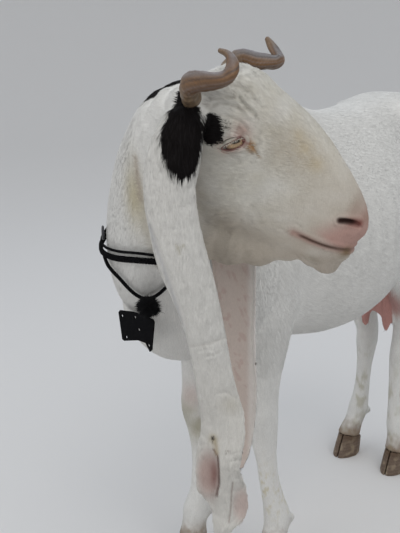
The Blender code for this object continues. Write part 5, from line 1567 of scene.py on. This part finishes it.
def eye(side, mat):
    """An eyeball with a tan iris, a level dark pupil and a raised clear front."""
    rings, around = 90, 120
    look = unit(RIGHT * side + NOSE * 0.27 + CROWN * 0.22)
    along = unit(SLIT_ALONG - look * SLIT_ALONG.dot(look))
    above = np.cross(look, along)
    turn = np.concatenate([[0.0], np.linspace(0.012, 1.0, rings - 1) ** 1.25]) * math.pi * 0.999
    a = np.arange(around) * 2 * math.pi / around
    x = np.sin(turn)[:, None] * np.cos(a)[None]
    y = np.sin(turn)[:, None] * np.sin(a)[None]
    r = EYE_R + FRONT_RISE * np.exp(-(np.sin(turn) * EYE_R / FRONT_REACH) ** 4) * (turn < 1.5)
    ball = look * np.cos(turn)[:, None, None] + along * x[..., None] + above * y[..., None]
    verts = eye_centre(side) + ball * r[:, None, None]
    gap = np.hypot(x, y) * EYE_R + 9.0 * (np.cos(turn) < 0)[:, None]
    rays = 0.5 + 0.5 * np.sin(23 * a[None] + 60 * gap) * np.sin(9 * a[None] + 2.0)
    tone = IRIS * (0.75 + 0.5 * rays[..., None]) * (0.70 + 0.45 * smoothstep(gap, 0.0, 0.009))[..., None]
    tone = tone + (EYE_WHITE - tone) * smoothstep(gap, *IRIS_EDGE)[..., None]
    tone = tone * (1.0 - 0.25 * hump(gap, 0.0112, 0.0012))[..., None]
    pupil = ((np.abs(x) * EYE_R / PUPIL[0]) ** 4 + (np.abs(y * EYE_R) / PUPIL[1]) ** 4) ** 0.25
    tone = tone * (0.06 + 0.94 * smoothstep(pupil + 3.0 * (gap > 1), 0.70, 1.25))[..., None]
    word = "right" if side > 0 else "left"
    ob = add_mesh("eyeball_" + word, verts.reshape(-1, 3), grid_faces(rings, around)[:, ::-1])
    add_tint(ob.data, tone.reshape(-1, 3))
    finished(ob, mat, "eye", "eye_" + word)


# Colours of the claws, and of the cords, the plate and the ring
HOOF, HOOF_DUST, HOOF_EDGE = (0.16, 0.115, 0.085), (0.34, 0.27, 0.19), (0.10, 0.06, 0.035)
CORD_BLACK = np.array([0.007, 0.007, 0.008])
PLATE_BLACK = np.array([0.005, 0.005, 0.006])
RING_GREY = np.array([0.05, 0.05, 0.055])

# Voxels of the claws and the plate, and the growth rings and lumps of the claws in metres
HOOF_FINE, PLATE_FINE = 0.0013, 0.0005
HOOF_RINGS, HOOF_LUMPS = 0.00030, 0.00035


def mottled(ob, colour, share, grain, seed):
    """Store one colour with soft noise in it."""
    q = points_of(ob.data)
    add_tint(ob.data, colour * (1.0 + share * wobble(q, grain, seed))[:, None])


def hooves(mat):
    """The eight claws with rounded edges, growth rings and dirt."""
    for name in sorted(n for n in NODES if n.startswith("hoof_")):
        ob = add_mesh(name + "_fine", *gathered([name], 0.0003))
        with_modifier(ob, "REMESH", mode="VOXEL", voxel_size=HOOF_FINE)
        smoothed(ob, 5)
        p, n = points_of(ob.data), normals_of(ob.data)
        wall = 1.0 - np.abs(n[:, 2]) ** 2
        ring = np.sin(p[:, 2] * 900.0 + 2.0 * np.sin(p[:, 0] * 60.0) + 1.5 * wobble(p, 0.03, 31))
        move = HOOF_RINGS * ring * wall + HOOF_LUMPS * wobble(p, 0.008, 32)
        p = p + n * move[:, None]
        p[:, 2] = np.maximum(p[:, 2], 0.0)
        move_points(ob.data, p)
        # Lighter on the crests of the growth rings and darker between them: painted shade of the rings
        add_tint(ob.data, painted(plain(HOOF, len(p)) * (1.0 + 0.10 * ring)[:, None], [
            (HOOF_DUST, 0.65 * smoothstep(wobble(p, 0.02, 33), -0.1, 0.8)),
            (HOOF_EDGE, 0.7 * smoothstep(p[:, 2], 0.030, 0.050))]))
        finished(ob, mat, "hoof", name)


def wool_ball(count=5200):
    """The ball of wool at the lower cord."""
    low, high = [np.array(c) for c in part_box("pompom")]
    middle, radius = (low + high) / 2, float((high - low).min() / 2)
    rng = np.random.default_rng(5)
    way = unit(rng.normal(size=(count, 3)))
    lump = 1.0 + 0.16 * wobble(way, 1.1, 60) - 0.10 * np.abs(way[:, 2])
    reach = radius * lump * rng.uniform(0.80, 1.22, count)
    reach = np.where(rng.random(count) < 0.06, reach * 1.25, reach)
    core = radius * 0.55 * lump
    turn = (np.arctan2(way[:, 1], way[:, 0]) / (2 * math.pi) + 0.5) * 0.94 + 0.03
    uv = np.stack([turn, way[:, 2] * 0.46 + 0.5], axis=1)
    lie = rng.normal(size=way.shape)
    lift = np.radians(rng.uniform(50, 86, count))
    colour = CORD_BLACK * rng.uniform(0.7, 1.9, count)[:, None]
    ob = hair_mesh("pompom_fine", middle + way * core[:, None], way, lie, reach - core, np.full(count, 0.0010),
                   lift, colour, uv, bends=1, curl=0.25)
    finished(ob, tinted("wool"), "wool", "pompom")


# Cords: radius or else width and thickness, length of one turn, and the step between rings of points
UPPER_CORD, UPPER_TURN = 0.0021, 0.009
BRAID_WIDE, BRAID_THICK, BRAID_TURN = 0.0078, 0.0030, 0.013
LOWER_CORD, LOWER_TURN = 0.0028, 0.011
LOOP_STEP, LOWER_STEP = 0.0010, 0.0009


def cords():
    """Neck cords, wool ball, plate and ring."""
    yarn = tinted("cord_yarn")
    upper, braid = [even(along_rows(loop_of(name, 72), 500), LOOP_STEP, True)
                    for name in ("collar_upper", "collar_braid")]
    p = points_of(NODES["collar_lower"].data)
    levels = np.linspace(p[:, 1].min() + 0.001, p[:, 1].max() - 0.001, 40)
    lower = even(middles(p, [hump(p[:, 1], y, 0.0035) for y in levels]), LOWER_STEP, False)
    for name, mesh in (("collar_upper", twisted(upper, UPPER_CORD, UPPER_TURN, True)),
                       ("collar_braid", braided(braid, BRAID_WIDE, BRAID_THICK, BRAID_TURN, True)),
                       ("collar_lower", twisted(lower, LOWER_CORD, LOWER_TURN, False))):
        ob = add_mesh(name + "_fine", *mesh)
        mottled(ob, CORD_BLACK, 0.5, 0.004, 40)
        finished(ob, yarn, "cord", name)
    wool_ball()
    ob = add_mesh("plate_fine", *gathered(["plate"], 0.0))
    with_modifier(ob, "REMESH", mode="VOXEL", voxel_size=PLATE_FINE)
    smoothed(ob, 4)
    mottled(ob, PLATE_BLACK, 0.25, 0.012, 41)
    finished(ob, tinted("plate_black"), "tag", "plate")
    ob = add_mesh("ring_fine", *gathered(["collar_ring"], 0.0))
    with_modifier(ob, "SUBSURF", levels=2)
    mottled(ob, RING_GREY, 0.2, 0.006, 42)
    finished(ob, tinted("ring_metal"), "cord", "collar_ring")


# Rows of a lid from its edge outwards: how far out and how high above the eyeball
LID_ROWS = [(0.0001, -0.0010), (-0.0001, -0.0003), (0.0, 0.0003), (0.0004, 0.0008), (0.0010, 0.0011),
            (0.0018, 0.0012), (0.0027, 0.0010), (0.0038, 0.0005), (0.0052, -0.0004), (0.0066, -0.0016)]
LID_COLUMNS = 96

# Pink corner of the eye: ahead along the slit, below it and out from the eye's middle
CORNER = (0.0130, 0.0020, 0.0108)


def lids(mat):
    """Thin lids over the eyeballs, with a dark rim and a pink inner corner."""
    for side, word in ((1, "right"), (-1, "left")):
        verts = np.concatenate([slit_line(side, LID_COLUMNS, grow, lift) for grow, lift in LID_ROWS])
        share = np.repeat([smoothstep(grow, 0.0005, 0.0021) for grow, _ in LID_ROWS], LID_COLUMNS)[:, None]
        tone = RED_SKIN * (0.42, 0.48, 0.48) * (1 - share) + CREAM * 0.84 * share
        middle = eye_centre(side)
        corner = middle + SLIT_ALONG * CORNER[0] - SLIT_ABOVE * CORNER[1] + RIGHT * side * CORNER[2]
        low = smoothstep(-((verts - middle) @ SLIT_ABOVE), 0.0045, 0.0075)
        tone = painted(tone, [(RED_SKIN * (0.62, 0.66, 0.70), swell(verts, corner, 0.0055) * 0.85),
                              (PINK * (0.80, 0.72, 0.68), low * 0.6)])
        faces = grid_faces(len(LID_ROWS), LID_COLUMNS)
        ob = add_mesh("lids_" + word, verts, faces if side < 0 else faces[:, ::-1])
        with_modifier(ob, "SOLIDIFY", thickness=0.0006, offset=-1.0)
        with_modifier(ob, "SUBSURF", levels=1)
        q = points_of(ob.data)
        nearest = BVHTree.FromPolygons(verts.tolist(), faces.tolist())
        spots = [nearest.find_nearest(v)[2] for v in q.tolist()]
        shade = tone[faces[spots, 0]] * (1.0 + 0.10 * wobble(q, 0.004, 50))[:, None]
        add_tint(ob.data, eye_marks(q, shade, np.full(len(q), max(side, 0.0))))
        finished(ob, mat, "bare_skin")
        gland = add_mesh("eye_corner_" + word, *bead(corner - RIGHT * side * 0.0012, (0.0032, 0.0024, 0.0024)))
        mottled(gland, PINK * (0.50, 0.30, 0.28), 0.12, 0.003, 51)
        finished(gland, mat, "bare_skin")


def bead(centre, radii, rings=14, around=20):
    """A small rounded lump in the head frame."""
    turn = np.linspace(0.02, math.pi - 0.02, rings)[:, None]
    a = np.arange(around) * 2 * math.pi / around
    x = np.cos(turn) * np.ones(around) * radii[0]
    y = np.sin(turn) * np.cos(a) * radii[1]
    z = np.sin(turn) * np.sin(a) * radii[2]
    across = np.cross(SLIT_ALONG, SLIT_ABOVE)
    verts = centre + SLIT_ALONG * x[..., None] + SLIT_ABOVE * y[..., None] + across * z[..., None]
    return verts.reshape(-1, 3), grid_faces(rings, around)


# Stage

# Lights: name, place, size in metres, power in watts and colour
LIGHTS = [("key", (0.9, 1.6, 3.2), 2.4, 28.0, (1.0, 0.985, 0.955)),
          ("over", (-1.2, -0.9, 3.4), 2.8, 12.0, (0.66, 0.80, 1.0)),
          ("fill", (2.8, -0.6, 1.6), 2.2, 12.0, (1.0, 0.98, 0.95))]
LIT = (0.1, 0.0, 0.55)
FLOOR_COLOUR = (0.72, 0.71, 0.70, 1.0)
SKY_COLOUR, SKY_STRENGTH = (0.86, 0.89, 0.93, 1.0), 0.72
FLOOR_RADIUS, BEND = 9.0, 5.0


def floor_mesh(around=96):
    """A round floor whose edge bends up into a wall."""
    ring = np.linspace(0.0, 2 * math.pi, around, endpoint=False)
    rows = [(r, 0.0) for r in (1.5, 3.0, 5.0, 7.0, FLOOR_RADIUS)]
    rows += [(FLOOR_RADIUS + BEND * math.sin(t), BEND - BEND * math.cos(t)) for t in np.linspace(0.1, 1.45, 14)]
    verts = [(r * math.cos(a), r * math.sin(a), z) for r, z in rows for a in ring]
    verts.append((0.0, 0.0, 0.0))
    faces = grid_faces(len(rows), around)
    fan = [((j + 1) % around, j, len(verts) - 1) for j in range(around)]
    return verts, np.concatenate([faces[:, [0, 1, 2]], faces[:, [0, 2, 3]], fan])[:, ::-1]


def stage():
    """Floor, soft lights and the camera at the photograph's place."""
    scene = bpy.context.scene
    floor = add_mesh("floor", *floor_mesh())
    mat, main, _, _ = shader("floor", 0.85)
    main.inputs["Base Color"].default_value = FLOOR_COLOUR
    floor.data.materials.append(mat)
    world = bpy.data.worlds.new("studio")
    world.use_nodes = True
    back = world.node_tree.nodes["Background"]
    back.inputs["Color"].default_value = SKY_COLOUR
    back.inputs["Strength"].default_value = SKY_STRENGTH
    scene.world = world
    for name, at, size, power, colour in LIGHTS:
        lamp = bpy.data.lights.new(name, "AREA")
        lamp.size = size
        lamp.energy = power
        lamp.color = colour
        ob = bpy.data.objects.new(name, lamp)
        ob.location = at
        ob.rotation_euler = (Vector(LIT) - Vector(at)).to_track_quat("-Z", "Y").to_euler()
        scene.collection.objects.link(ob)
    camera = bpy.data.cameras.new("camera")
    camera.lens = FOCAL / PHOTO[1] * FILM
    camera.sensor_width = FILM
    seat = bpy.data.objects.new("camera", camera)
    spot = np.eye(4)
    spot[:3] = np.stack([VIEW_RIGHT, VIEW_UP, -VIEW_AHEAD, VIEW_FROM], axis=1)
    seat.matrix_world = Matrix(spot.tolist())
    scene.collection.objects.link(seat)
    scene.camera = seat
    scene.view_settings.view_transform = "Standard"


# Make everything

stage()
hide = finished_skin()
skin = Skin(hide)
add_tint(hide.data, skin.colour)
finished(hide, tinted("hide"), "coat", "head", "ear_right", "ear_left", *TRUNK)
dress(skin)
keratin, wet = tinted("horn_keratin"), tinted("eye_wet")
for side in (1, -1):
    horn(side, keratin)
    eye(side, wet)
lids(tinted("lid_skin"))
hooves(tinted("hoof_horn"))
cords()
